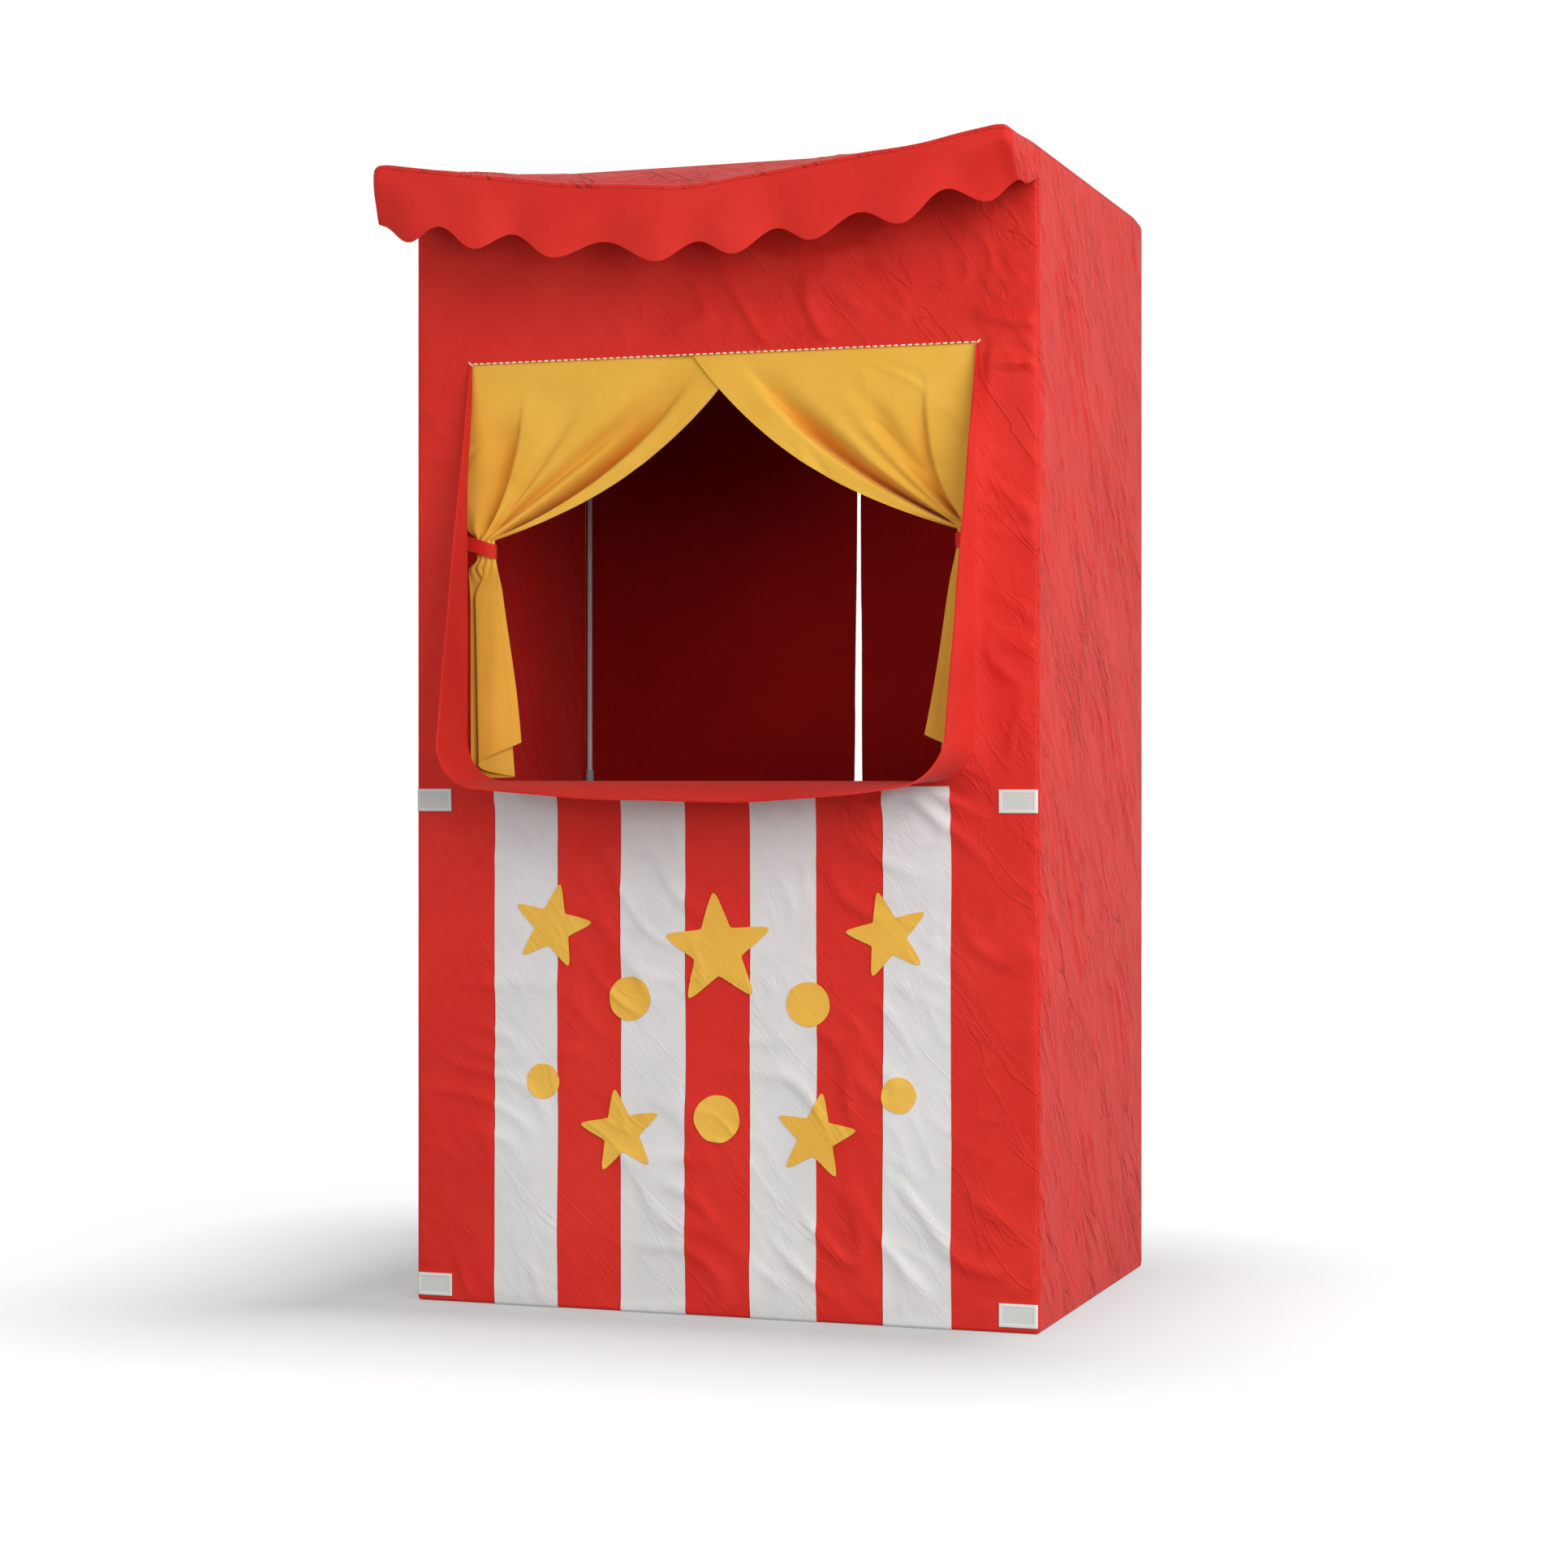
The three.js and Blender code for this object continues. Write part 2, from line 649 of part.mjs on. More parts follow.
function backFlap(sign) {
  const top = roofSeamZ - 2 * seamGap;
  const slitAt = (z) => THREE.MathUtils.lerp(slitAtFloor, slitAtTop, z / coverHeight) / 2;
  const panel = new THREE.Shape();
  panel.moveTo(slitAt(flapFloorGap), flapFloorGap);
  panel.lineTo(flapHingeX, flapFloorGap);
  panel.lineTo(flapHingeX, top);
  panel.lineTo(slitAt(top), top);
  panel.closePath();
  const hem = new THREE.Shape();
  hem.moveTo(slitAt(flapFloorGap), flapFloorGap);
  hem.lineTo(flapHingeX, flapFloorGap);
  hem.lineTo(flapHingeX, flapFloorGap + flapHemWidth);
  hem.lineTo(slitAt(flapFloorGap) + flapHemWidth, flapFloorGap + flapHemWidth);
  hem.lineTo(slitAt(top) + flapHemWidth, top);
  hem.lineTo(slitAt(top), top);
  hem.closePath();
  const half = clothThickness / 2;
  const thick = half + flapHemExtra;
  const cord = new THREE.CylinderGeometry(
    flapBeadRadius,
    flapBeadRadius,
    top - flapFloorGap,
    tubeSides,
  );
  cord.rotateX(Math.PI / 2).translate(flapHingeX, flapFaceY, (top + flapFloorGap) / 2);
  const flap = solidOf(standingPlate(panel, flapFaceY - half, flapFaceY + half))
    .add(solidOf(standingPlate(hem, flapFaceY - thick, flapFaceY + thick)))
    .add(solidOf(cord));
  return onSide(geometryOf(flap), sign);
}

function buildFlaps() {
  return sides.map(({ name, sign }) => piece(`back_flap_${name}`, backFlap(sign), redCloth));
}

// Curtains: sewn flat above the window, gathered by the tie, and pleated down to a slanting hem.
const curtainFaceY = clothThickness + restGap + curtainThickness / 2;
const bandOuterDepth = gatherDepth / 2 + curtainThickness / 2 + seamGap + tieThickness;
const gatherY = clothThickness + restGap + bandOuterDepth;
const gatherOuterX = halfWindow - gatherSideGap;
const gatherMiddleX = gatherOuterX - gatherWidth / 2;
const tieShare = 0.5; // of a curtain's rows, those above the tie
const gatherHold = 0.06; // share of the rows on each side of the tie that stay gathered

// Handles of the curve from the top edge to the tie, at the outer edge and at the free edge.
const outerCurve = { topDrop: 85, tieRise: 85, topPull: 0, tiePull: 0 };
const freeCurve = { topDrop: 158, tieRise: 47, topPull: 110, tiePull: 119 };

// A point of the cloth in the booth's right half: u from the window's side to the free edge.
function curtainPoint(u, v, crossBack) {
  const blend = (key) => THREE.MathUtils.lerp(outerCurve[key], freeCurve[key], u);
  const topX = THREE.MathUtils.lerp(halfWindow + curtainSideLap, -curtainOverlap, u);
  const topZ = windowTop + curtainHeader;
  const tieX = gatherOuterX - gatherWidth * u;
  const folds = -Math.cos(2 * Math.PI * pleatCount * u);
  const bunched = Math.sqrt(1 - (2 * u - 1) ** 2); // the gathered cloth is oval in plan
  if (v <= tieShare) {
    const t = Math.min(1, v / (tieShare - gatherHold));
    const curve = new THREE.CubicBezierCurve(
      new THREE.Vector2(topX, topZ),
      new THREE.Vector2(topX + blend("topPull"), topZ - blend("topDrop")),
      new THREE.Vector2(tieX - blend("tiePull"), tieHeight + blend("tieRise")),
      new THREE.Vector2(tieX, tieHeight + tieBandHeight * 0.6),
    );
    const held = THREE.MathUtils.clamp((v - tieShare + gatherHold) / gatherHold, 0, 1);
    const at = curve.getPoint(t);
    const fullness = Math.sin(Math.PI * t ** 1.6) * (pleatDepth - gatherDepth / 2);
    const gathered = THREE.MathUtils.smoothstep(t, 0, 1);
    const depth = (gatherDepth / 2) * gathered * bunched + fullness;
    const middle = THREE.MathUtils.lerp(curtainFaceY, gatherY, gathered);
    const behind = crossBack * THREE.MathUtils.smoothstep(u, 0.6, 0.85) * (1 - t);
    const y = middle + fullness + depth * folds + behind;
    return new THREE.Vector3(at.x, y, at.y - tieBandHeight * 0.6 * held);
  }
  const below = (v - tieShare) / (1 - tieShare);
  const s = THREE.MathUtils.clamp((below - gatherHold) / (1 - gatherHold), 0, 1);
  const spread = THREE.MathUtils.smoothstep(s, 0, 0.8);
  const tailOuterX = halfWindow + tailSideLap;
  const x = THREE.MathUtils.lerp(tieX, tailOuterX - tailSpread * u, spread);
  const hem = windowSill + THREE.MathUtils.lerp(outerHemRise, innerHemRise, u);
  const y = gatherY + (gatherDepth / 2) * folds * THREE.MathUtils.lerp(bunched, 1, spread);
  return new THREE.Vector3(x, y, THREE.MathUtils.lerp(tieHeight, hem, below));
}

function buildCurtain(name, sign) {
  const crossBack = sign < 0 ? curtainCross : 0;
  const surface = (u, v) => curtainPoint(u, v, crossBack);
  const sheet = drapedSheet(surface, curtainColumns, curtainRows, curtainThickness);
  return piece(`curtain_${name}`, onSide(sheet, sign), yellowCloth);
}

// Ties: a fixed band in front of the gathered cloth, and a half that swings open behind it.
const bandHalfWidth = gatherWidth / 2 + curtainThickness / 2 + seamGap + tieThickness;

function bandShape(from, to) {
  const shape = new THREE.Shape();
  shape.absellipse(0, 0, bandHalfWidth, bandOuterDepth, from, to, false);
  const insideX = bandHalfWidth - tieThickness;
  const insideY = bandOuterDepth - tieThickness;
  shape.absellipse(0, 0, insideX, insideY, to, from, true);
  shape.closePath();
  return shape;
}

function bandSolid(shape) {
  const band = new THREE.ExtrudeGeometry(shape, {
    depth: tieBandHeight,
    bevelEnabled: false,
    curveSegments: tubeSides / 2,
  });
  return solidOf(band.translate(gatherMiddleX, gatherY, tieHeight - tieBandHeight / 2));
}

function buildTies(name, sign) {
  const low = tieHeight - tieBandHeight / 2;
  const high = tieHeight + tieBandHeight / 2;
  const opening = (tieKnuckleRadius + seamGap) / bandOuterDepth;
  const front = bandShape(Math.PI + seamGap / bandOuterDepth, 2 * Math.PI - opening);
  const strapY = clothThickness + restGap;
  const tab = boxBetween(
    [gatherMiddleX, strapY, low],
    [halfWindow + tieTab, strapY + tieThickness, high],
  );
  const fixed = bandSolid(front).add(solidOf(tab));
  const rear = bandShape(0, Math.PI);
  const knuckle = new THREE.CylinderGeometry(
    tieKnuckleRadius,
    tieKnuckleRadius,
    tieBandHeight,
    tubeSides,
  );
  const knuckleX = gatherMiddleX + bandHalfWidth - tieThickness + tieKnuckleRadius;
  knuckle.rotateX(Math.PI / 2).translate(knuckleX, gatherY, tieHeight);
  const moving = bandSolid(rear).add(solidOf(knuckle));
  return [
    piece(`tie_band_${name}`, onSide(geometryOf(fixed), sign), redCloth),
    piece(`tie_catch_${name}`, onSide(geometryOf(moving), sign), redCloth),
  ];
}

// The booth is drawn with its front face at Y 0 and then moved so that the origin is in its middle.
const booth = new THREE.Group();
booth.position.y = (awningReach - coverDepth) / 2;
booth.add(buildFrame(), buildCover(), buildApron(), ...buildAwning(), ...buildFlaps());
for (const { name, sign } of sides) booth.add(buildCurtain(name, sign), ...buildTies(name, sign));

const puppetTheatre = new THREE.Group();
puppetTheatre.add(booth);

export default puppetTheatre;
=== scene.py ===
"""Puppet theatre stand for children: cloth, frame, light and camera for its render.

Metres. X runs across the front, Y from the audience to the back, Z up from the floor.
Shapes are worked out with Y 0 on the booth's front face, and moved to their place as a mesh.
"""

import math

import bpy
import numpy as np
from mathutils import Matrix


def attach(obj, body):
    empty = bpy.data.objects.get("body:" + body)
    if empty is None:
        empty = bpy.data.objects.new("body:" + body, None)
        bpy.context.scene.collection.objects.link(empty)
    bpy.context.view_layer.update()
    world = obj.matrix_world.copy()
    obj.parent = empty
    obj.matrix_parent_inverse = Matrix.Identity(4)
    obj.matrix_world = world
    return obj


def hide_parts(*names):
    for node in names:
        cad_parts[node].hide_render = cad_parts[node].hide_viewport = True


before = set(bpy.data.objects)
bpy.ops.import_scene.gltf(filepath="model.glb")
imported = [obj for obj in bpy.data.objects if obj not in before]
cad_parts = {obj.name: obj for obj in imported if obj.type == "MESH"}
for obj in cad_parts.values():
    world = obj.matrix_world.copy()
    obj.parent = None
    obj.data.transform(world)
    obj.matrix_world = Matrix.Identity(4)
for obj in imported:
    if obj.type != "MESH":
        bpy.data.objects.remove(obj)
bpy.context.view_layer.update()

# Cover.
FACE_Y = -0.230  # the booth's front face in the part's frame
HALF_WIDTH = 0.430
DEPTH = 0.600
HEIGHT = 1.500
CLOTH = 0.0012
CORNER_RADIUS = 0.0065  # upright corners
FRONT_FLAT = HALF_WIDTH - CORNER_RADIUS  # half of the front's straight part
HEM_RADIUS = 0.005  # where the cloth turns in under the floor rails
HEM_ARC = HEM_RADIUS * math.pi / 2
HEM_RETURN = 0.018
EDGE_RADIUS = 0.006  # edges of the roof and the awning
LIP_RADIUS = EDGE_RADIUS - CLOTH / 2  # the same at the middle of the cloth
TOP_FLAT = HALF_WIDTH - EDGE_RADIUS  # half of the flat part of the roof and the awning
SEAM_GAP = 0.0003
ROOF_SEAM = HEIGHT - EDGE_RADIUS
SIDE_LENGTH = 0.5882  # of a side, from its rounded front corner to its back edge
FLOOR_GAP = 0.0002

# Fineness of the meshes: distance between points, and rows and columns of a grid.
GRID_STEP = 0.005
VALANCE_ROWS, VALANCE_STEP = 26, 0.004
APRON_ROWS, APRON_COLUMNS = 34, 360
CURTAIN_ROWS, CURTAIN_COLUMNS = 200, 165
TIE_ROWS, TIE_COLUMNS = 9, 30
FLAP_STEP, FLAP_COLUMNS = 0.0055, 80
PATCH_STEP = 0.0006
SHAPE_STEPS = 49

# Stage window and apron.
WINDOW_HALF = 0.350
WINDOW_SILL = 0.697
WINDOW_TOP = 1.253
WINDOW_HEIGHT = WINDOW_TOP - WINDOW_SILL
WINDOW_RADIUS = 0.055
APRON_REACH = 0.139
APRON_TOP_REACH = 0.003
APRON_SAG = 0.025
APRON_LEAN = 0.008
APRON_PULL = 0.015  # how far the apron draws the front cloth out at the window's edge
PULL_WIDTH = 0.014
APRON_RIPPLE = 0.0022
APRON_FOOT = 0.0010  # how far behind the front's face its seam lies
APRON_HEM = 0.0006

# Awning and valance.
AWNING_REACH = 0.140
AWNING_FLAT = AWNING_REACH - EDGE_RADIUS
AWNING_SAG = 0.050
SAG_HALF_SPAN = 0.408
SAG_POWER = 1.37
TOP_CORNER = 0.014  # radius of the four top corners, seen from the front
PLAN_CORNER = 0.011
VALANCE_DROP = 0.085
SCALLOP_DEPTH = 0.012
VALANCE_WAVE = 0.007
VALANCE_TUCK = {-1: 0.022, 1: 0.044}  # how far each lower corner is drawn back to the booth
RIGHT_LIFT = 0.012  # how much shorter it hangs at its right end
STRAIGHT_SHARE = 0.2
WING_FOOT = 0.042
SCALLOP_TIPS = HALF_WIDTH * np.array([-0.89, -0.66, -0.41, -0.08, 0.17, 0.41, 0.68, 0.91])

# Stripes and hook-tape patches.
STRIPE_WIDTH = 0.090
STRIPE_CENTRES = (-0.270, -0.090, 0.090, 0.270)
STRIPE_TOP = 0.691
STRIPE_CLOTH = 0.0006
LAID_GAP = 0.0004  # between the front's face and the cloth that is sewn on it
PATCH_LEFT, PATCH_RIGHT = 0.378, 0.428
PATCH_HALF_HEIGHT = 0.015
PATCH_CENTRES = {"upper": 0.672, "lower": 0.023}
PATCH_BORDER = 0.004
PATCH_THICKNESS = 0.0018
PATCH_RECESS = 0.0006
HOOK_PITCH = 0.0018

# Shapes: each one's name, centre, size, number of tips and tilt in degrees.
SHAPES = (
    ("star_middle", (0.000, 0.478), 0.150, 5, 4),
    ("star_left", (-0.232, 0.505), 0.112, 5, -12),
    ("star_right", (0.232, 0.500), 0.112, 5, 14),
    ("dot_left", (-0.122, 0.412), 0.058, 0, 0),
    ("dot_right", (0.124, 0.410), 0.058, 0, 0),
    ("star_low_left", (-0.135, 0.236), 0.112, 5, 9),
    ("star_low_right", (0.135, 0.240), 0.112, 5, -8),
    ("dot_low", (0.000, 0.258), 0.062, 0, 0),
    ("dot_low_left", (-0.245, 0.300), 0.046, 0, 0),
    ("dot_low_right", (0.246, 0.296), 0.046, 0, 0),
)
SHAPE_LIFT = 0.0008
STAR_SHARPNESS = 0.96

# Stitches along the window's upper edge.
STITCH_RISE = 0.0009
STITCH_PITCH = 0.0093
STITCH_LENGTH = 0.0066
STITCH_ENDS = (-0.344, 0.345)
THREAD_RADIUS = 0.0012
THREAD_ARCH = 0.0010  # how far the middle of a stitch stands out of the cloth
BAR_PLACE = 0.3505  # of the slanting bar at each end
BAR_LENGTH = 0.0065

# Back flaps.
FLAP_FACE = DEPTH - 0.0022
FLAP_HINGE = HALF_WIDTH - 0.0022
FLAP_FOOT = 0.007
FLAP_TOP = 1.4926
FLAP_CORD = 0.0022
FLAP_HEM = 0.018
# The slit between them: a height, its half width and its middle there, and how much the half
# width shrinks and the middle moves to the right for each metre further up.
SLIT_LEVEL = 0.696
SLIT_HALF, SLIT_TAPER = 0.0066, 0.00755
SLIT_MIDDLE, SLIT_SLANT = 0.0029, 0.0047

# Curtains and ties.
CURTAIN_CLOTH = 0.0009
CURTAIN_FACE = 0.0026
CURTAIN_TOP = WINDOW_TOP + 0.014
CURTAIN_LAP = 0.006
CURTAIN_OVERLAP = 0.045
CURTAIN_CROSS = 0.004
CURTAIN_HEM = 0.00035  # how much thicker each face is at the hems
CURTAIN_HEM_SHARE = 0.962  # of the width, and of the tail's height, where the hems begin
TIE_HOLD = 0.12  # share of the height above the tie's middle over which the tie holds it
TIE_HEIGHT = 1.008
TIE_BAND = 0.019
TIE_REACH = 0.6 * TIE_BAND  # above its middle, where the curtain's curve ends
TIE_CLOTH = 0.0014
TIE_LENGTH = 0.040  # of the front and of the back half of a tie, along the cloth
TIE_TILT = 0.30  # the band rises towards the window's side
TIE_OPENING = 0.2  # angle at the window's side that the band leaves free
TAB_FACE = 0.0027
TAB_PAST = 0.018  # how far the tab goes past the window's edge
GATHER_OUTER = 0.346
GATHER_WIDTH = 0.026
GATHER_DEPTH = 0.0095
GATHER_MIDDLE = GATHER_OUTER - GATHER_WIDTH / 2
GATHER_Y = 0.0109
PLEAT_DEPTH = 0.0010
BUNDLE_BOW = 0.0032
DEEP_FOLD = 0.030  # depth at which a fold's painted shade is fullest
BAND_HALF_WIDTH = 0.0154
BAND_HALF_DEPTH = 0.0089
OVERLAP = 3.4  # how far a gathered curtain folds back over itself, into three layers
TAIL_OUTER = WINDOW_HALF + 0.009
# Handles of the curve in which a curtain hangs from its top to its tie: how far each stands
# from the curve's end, and how much further at the free edge, upright and sideways.
HANDLE = 0.085
UPPER_HANDLE = (0.073, 0.110)
LOWER_HANDLE = (-0.038, 0.119)
# The free edge below the tie: how far out it is drawn at four heights, and its hem's rise.
TAIL_EDGE = {-1: (0.320, 0.309, 0.294, 0.2885), 1: (0.320, 0.304, 0.298, 0.279)}
TAIL_RISE = {-1: 0.047, 1: 0.055}
TAIL_TURN = {-1: 0.45, 1: 0.0}  # how steeply it goes back beside the window's edge
# Folds of each curtain: share of its width at the top and at the tie, width towards the
# window's side and towards the free edge, depth, and the share of the height where it starts.
CURTAIN_FOLDS = {
    -1: (
        (0.85, 0.80, 0.080, 0.028, 0.0340, 0.02),
        (0.80, 0.46, 0.050, 0.060, 0.0150, 0.00),
        (0.50, 0.42, 0.050, 0.030, 0.0060, 0.10),
        (0.20, 0.33, 0.130, 0.016, 0.0190, 0.15),
    ),
    1: (
        (0.84, 0.77, 0.080, 0.022, 0.0330, 0.00),
        (0.62, 0.60, 0.050, 0.050, 0.0070, 0.10),
        (0.50, 0.46, 0.060, 0.050, 0.0110, 0.05),
        (0.18, 0.50, 0.018, 0.090, 0.0140, 0.12),
    ),
}

# Creases of the cover: height, lean from upright in degrees, spacing, length and random seed.
LATTICE = 128  # size of the random lattice, after which it repeats
CREST_WIDTH = 0.16  # of a crease, by its spacing
FRONT_CREASES = ((0.0072, 50, 0.062, 0.17, 12), (0.0024, 42, 0.034, 0.09, 21))
SIDE_CREASES = ((0.0022, 38, 0.042, 0.24, 1), (0.0018, 46, 0.020, 0.12, 11))
TOP_CREASES = ((0.0016, 65, 0.040, 0.15, 1), (0.0012, -25, 0.034, 0.12, 11))
FLAP_CREASES = ((0.0016, 30, 0.036, 0.20, 2), (0.0009, 44, 0.020, 0.10, 12))

# Cloth's finish: depths of its bumps, and how rough its outer and its inner face are.
CREASE_DEPTH = 0.0032
GRAIN_DEPTH = 0.0006
THREAD_DEPTH = 0.00012
THREAD_PITCH = 0.0011
CLOTH_ROUGHNESS = (0.62, 0.92)
SHEEN_ROUGHNESS = 0.45
WHITE = (1.0, 1.0, 1.0, 1.0)
# Painted shade in the curtains' folds: the colour that deep folds are multiplied by.
FOLD_SHADE_YELLOW = (0.90, 0.62, 0.42, 1.0)
# Painted shade in the recessed field of the hook tape, between its hooks.
HOOK_HOLLOW_SHADE = (0.45, 0.47, 0.46, 1.0)

# Light and camera: each lamp's name, place, aim, size and power.
LAMPS = (
    ("key_light", (2.9, -2.9, 2.0), (0.0, -0.2, 0.6), 2.6, 98.0),
    ("side_light", (4.2, -0.4, 1.8), (0.3, -0.1, 0.7), 2.4, 60.0),
    ("fill_light", (-1.2, -5.0, 0.6), (0.0, -0.2, 1.0), 2.6, 84.0),
)
WORLD_LIGHT = 0.50
FLOOR_HALF = 14.0
FLOOR_GREY = 0.20
FLOOR_SHIFT = 0.12  # how far the floor's painted shadow is moved to the booth's shaded side
SHADE_REACH = 4.0  # distance from the booth over which the painted shadow fades
# Glow of the floor seen directly, by distance from the booth: lower near it, a painted shadow.
FLOOR_SHADES = ((0.0, 0.38), (0.03, 0.54), (0.07, 0.68), (0.13, 0.84), (0.30, 0.92), (1.0, 0.98))
CAMERA_PLACE = (1.4283, -4.1804, 0.7028)
CAMERA_TURN = 0.3264
CAMERA_SHIFT = -0.00445
LENS = 74.1
SENSOR = 36.0


# Smooth random fields for the cloth's creases.
def ease(t):
    """Zero at 0, one at 1, and level at both ends."""
    t = np.clip(t, 0, 1)
    return t * t * t * (t * (6 * t - 15) + 10)


def smooth(value, low, high):
    """Rises gently from zero at low to one at high."""
    return ease((value - low) / (high - low))


def noise(x, y, seed):
    """Random slopes at the corners of a unit lattice, eased together; about -1 to 1."""
    x, y = np.broadcast_arrays(np.asarray(x, float), np.asarray(y, float))
    turns = np.random.default_rng(seed).uniform(0, 2 * np.pi, (LATTICE, LATTICE))
    column = np.floor(x).astype(int)
    row = np.floor(y).astype(int)
    right, above = x - column, y - row

    def from_corner(step_x, step_y):
        """Height at the point of the slope that belongs to one corner of its cell."""
        angle = turns[(column + step_x) % LATTICE, (row + step_y) % LATTICE]
        return np.cos(angle) * (right - step_x) + np.sin(angle) * (above - step_y)

    low = from_corner(0, 0) + (from_corner(1, 0) - from_corner(0, 0)) * ease(right)
    high = from_corner(0, 1) + (from_corner(1, 1) - from_corner(0, 1)) * ease(right)
    return 1.5 * (low + (high - low) * ease(above))


def creases(across, up, lean, spacing, length, seed):
    """Narrow folds that run down at an angle of lean from upright.

    A noise stretched along that direction has a crest where it crosses zero. A slower noise
    bends the crests, and another one lets them end.
    """
    lean = math.radians(lean)
    along = across * math.sin(lean) - up * math.cos(lean)
    over = across * math.cos(lean) + up * math.sin(lean)
    bend = noise(along / (1.5 * length), over / (5 * spacing), seed + 1)
    run = noise(over / spacing + 0.9 * bend, along / length, seed)
    crest = np.exp(-((run / CREST_WIDTH) ** 2))
    shown = smooth(noise(over / (3 * spacing), along / length, seed + 2), -0.25, 0.45)
    return crest * shown


def summed_creases(across, up, layers, seed=0):
    """Several sets of creases on top of each other, each by its height and its own seed."""
    return sum(
        height * creases(across, up, lean, spacing, length, seed + own)
        for height, lean, spacing, length, own in layers
    )


# Meshes from grids of points.
def grid_of(*coordinates):
    """One array of points from arrays of their coordinates, brought to one shape."""
    return np.stack(np.broadcast_arrays(*coordinates), axis=-1)


def grid_quads(rows, columns):
    """The four corners of each cell of a grid, in the order that faces along its normal."""
    at = np.arange(rows * columns).reshape(rows, columns)
    corners = (at[:-1, :-1], at[:-1, 1:], at[1:, 1:], at[1:, :-1])
    return np.stack(corners, axis=-1).reshape(-1, 4)


def tube_quads(rows, columns):
    """Quads round a tube of rings that each have columns points, and a fan of quads across
    each of its ends."""
    at = np.arange(rows * columns).reshape(rows, columns)
    around = np.roll(at, -1, axis=1)
    wall = np.stack([at[:-1], around[:-1], around[1:], at[1:]], axis=-1).reshape(-1, 4)
    fan = np.array([[0, i, i + 1, i + 2] for i in range(1, columns - 2, 2)])
    return np.concatenate([wall, at[0][fan][:, ::-1], at[-1][fan]])


def grid_normals(points):
    """Across times up, at each point of a grid."""
    normals = np.cross(np.gradient(points, axis=1), np.gradient(points, axis=0))
    return normals / np.linalg.norm(normals, axis=2, keepdims=True)


def open_edges(quads):
    """Edges that only one quad has, in that quad's direction."""
    edges = np.concatenate([quads[:, [i, (i + 1) % 4]] for i in range(4)])
    size = edges.max() + 1
    forward = edges[:, 0] * size + edges[:, 1]
    backward = edges[:, 1] * size + edges[:, 0]
    return edges[~np.isin(forward, backward)]


def cloth_lengths(points):
    """Distance along the cloth from its first corner, across and up, on its middle lines."""
    rows, columns = points.shape[:2]
    across = np.linalg.norm(np.diff(points[rows // 2], axis=0), axis=1)
    up = np.linalg.norm(np.diff(points[:, columns // 2], axis=0), axis=1)
    u = np.concatenate([[0], np.cumsum(across)])
    v = np.concatenate([[0], np.cumsum(up)])
    return np.stack(np.meshgrid(u, v), axis=-1)


def closed_sheet(points, outer, inner, keep=None):
    """A grid of points as a closed body: one face moved outer along the normals and one moved
    inner against them, with a rim along every open edge. keep says which cells stay."""
    rows, columns = points.shape[:2]
    normals = grid_normals(points)
    outer = np.broadcast_to(outer, (rows, columns))[..., None]
    inner = np.broadcast_to(inner, (rows, columns))[..., None]
    both = np.concatenate([points + normals * outer, points - normals * inner])
    quads = grid_quads(rows, columns)
    if keep is not None:
        quads = quads[keep.ravel()]
    count = rows * columns
    start, end = open_edges(quads).T
    rim = np.stack([end, start, start + count, end + count], axis=1)
    faces = np.concatenate([quads, quads[:, ::-1] + count, rim])
    return both.reshape(-1, 3), faces


def make_mesh(name, points, faces, uv=None, values=None):
    """A mesh of the points that the faces use, moved from the front face to its own place.
    values holds a number for each point under a name that the materials read."""
    used, faces = np.unique(faces, return_inverse=True)
    faces = faces.reshape(-1, 4)
    mesh = bpy.data.meshes.new(name)
    placed = points[used] + (0, FACE_Y, 0)
    mesh.from_pydata(placed.tolist(), [], faces.tolist())
    if uv is not None:
        layer = mesh.uv_layers.new(name="cloth")
        layer.data.foreach_set("uv", uv[used][faces].astype(np.float32).ravel())
    for key, value in (values or {}).items():
        attribute = mesh.attributes.new(key, "FLOAT", "POINT")
        attribute.data.foreach_set("value", value[used].astype(np.float32))
    mesh.polygons.foreach_set("use_smooth", np.ones(len(faces), bool))
    mesh.update()
    mesh.set_sharp_from_angle(angle=math.radians(55))
    return mesh


def add_piece(name, mesh, material, replaced=(), body="booth"):
    """Puts a mesh in the scene as a piece that moves with a body, in place of some solids."""
    piece = bpy.data.objects.new(name, mesh)
    bpy.context.scene.collection.objects.link(piece)
    mesh.materials.append(material)
    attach(piece, body)
    if replaced:
        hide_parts(*replaced)
    return piece


def add_sheet(
    name,
    points,
    fabric,
    replaced=(),
    body="booth",
    half=None,
    keep=None,
    crumple=0.0,
    painted_shade=0.0,
    mirror=False,
    lengths=None,
):
    """A piece of cloth from a grid of points on its middle surface. half is half its thickness,
    or two values: how far its two faces lie from the middle. crumple is how strongly it shows
    crisp creases, and the painted shade value how deep it lies in a fold or a hollow, where its
    colour is darkened as painted shade. mirror lets the creases lean the other way. lengths
    gives each point's place on the flat cloth."""
    half = fabric["thickness"] / 2 if half is None else half
    outer, inner = half if isinstance(half, tuple) else (half, half)
    both, faces = closed_sheet(points, outer, inner, keep)
    lengths = cloth_lengths(points) if lengths is None else lengths
    lengths = lengths.reshape(-1, 2) * ((-1, 1) if mirror else (1, 1))
    crumple = np.broadcast_to(crumple, points.shape[:2]).ravel()
    painted_shade = np.broadcast_to(painted_shade, points.shape[:2]).ravel()
    values = {
        "crumple": np.concatenate([crumple, 0.15 * crumple]),
        "painted_shade": np.concatenate([painted_shade, painted_shade]),
        "inside": np.repeat([0.0, 1.0], crumple.size),
    }
    mesh = make_mesh(name, both, faces, np.concatenate([lengths, lengths]), values)
    return add_piece(name, mesh, fabric["material"], replaced, body)


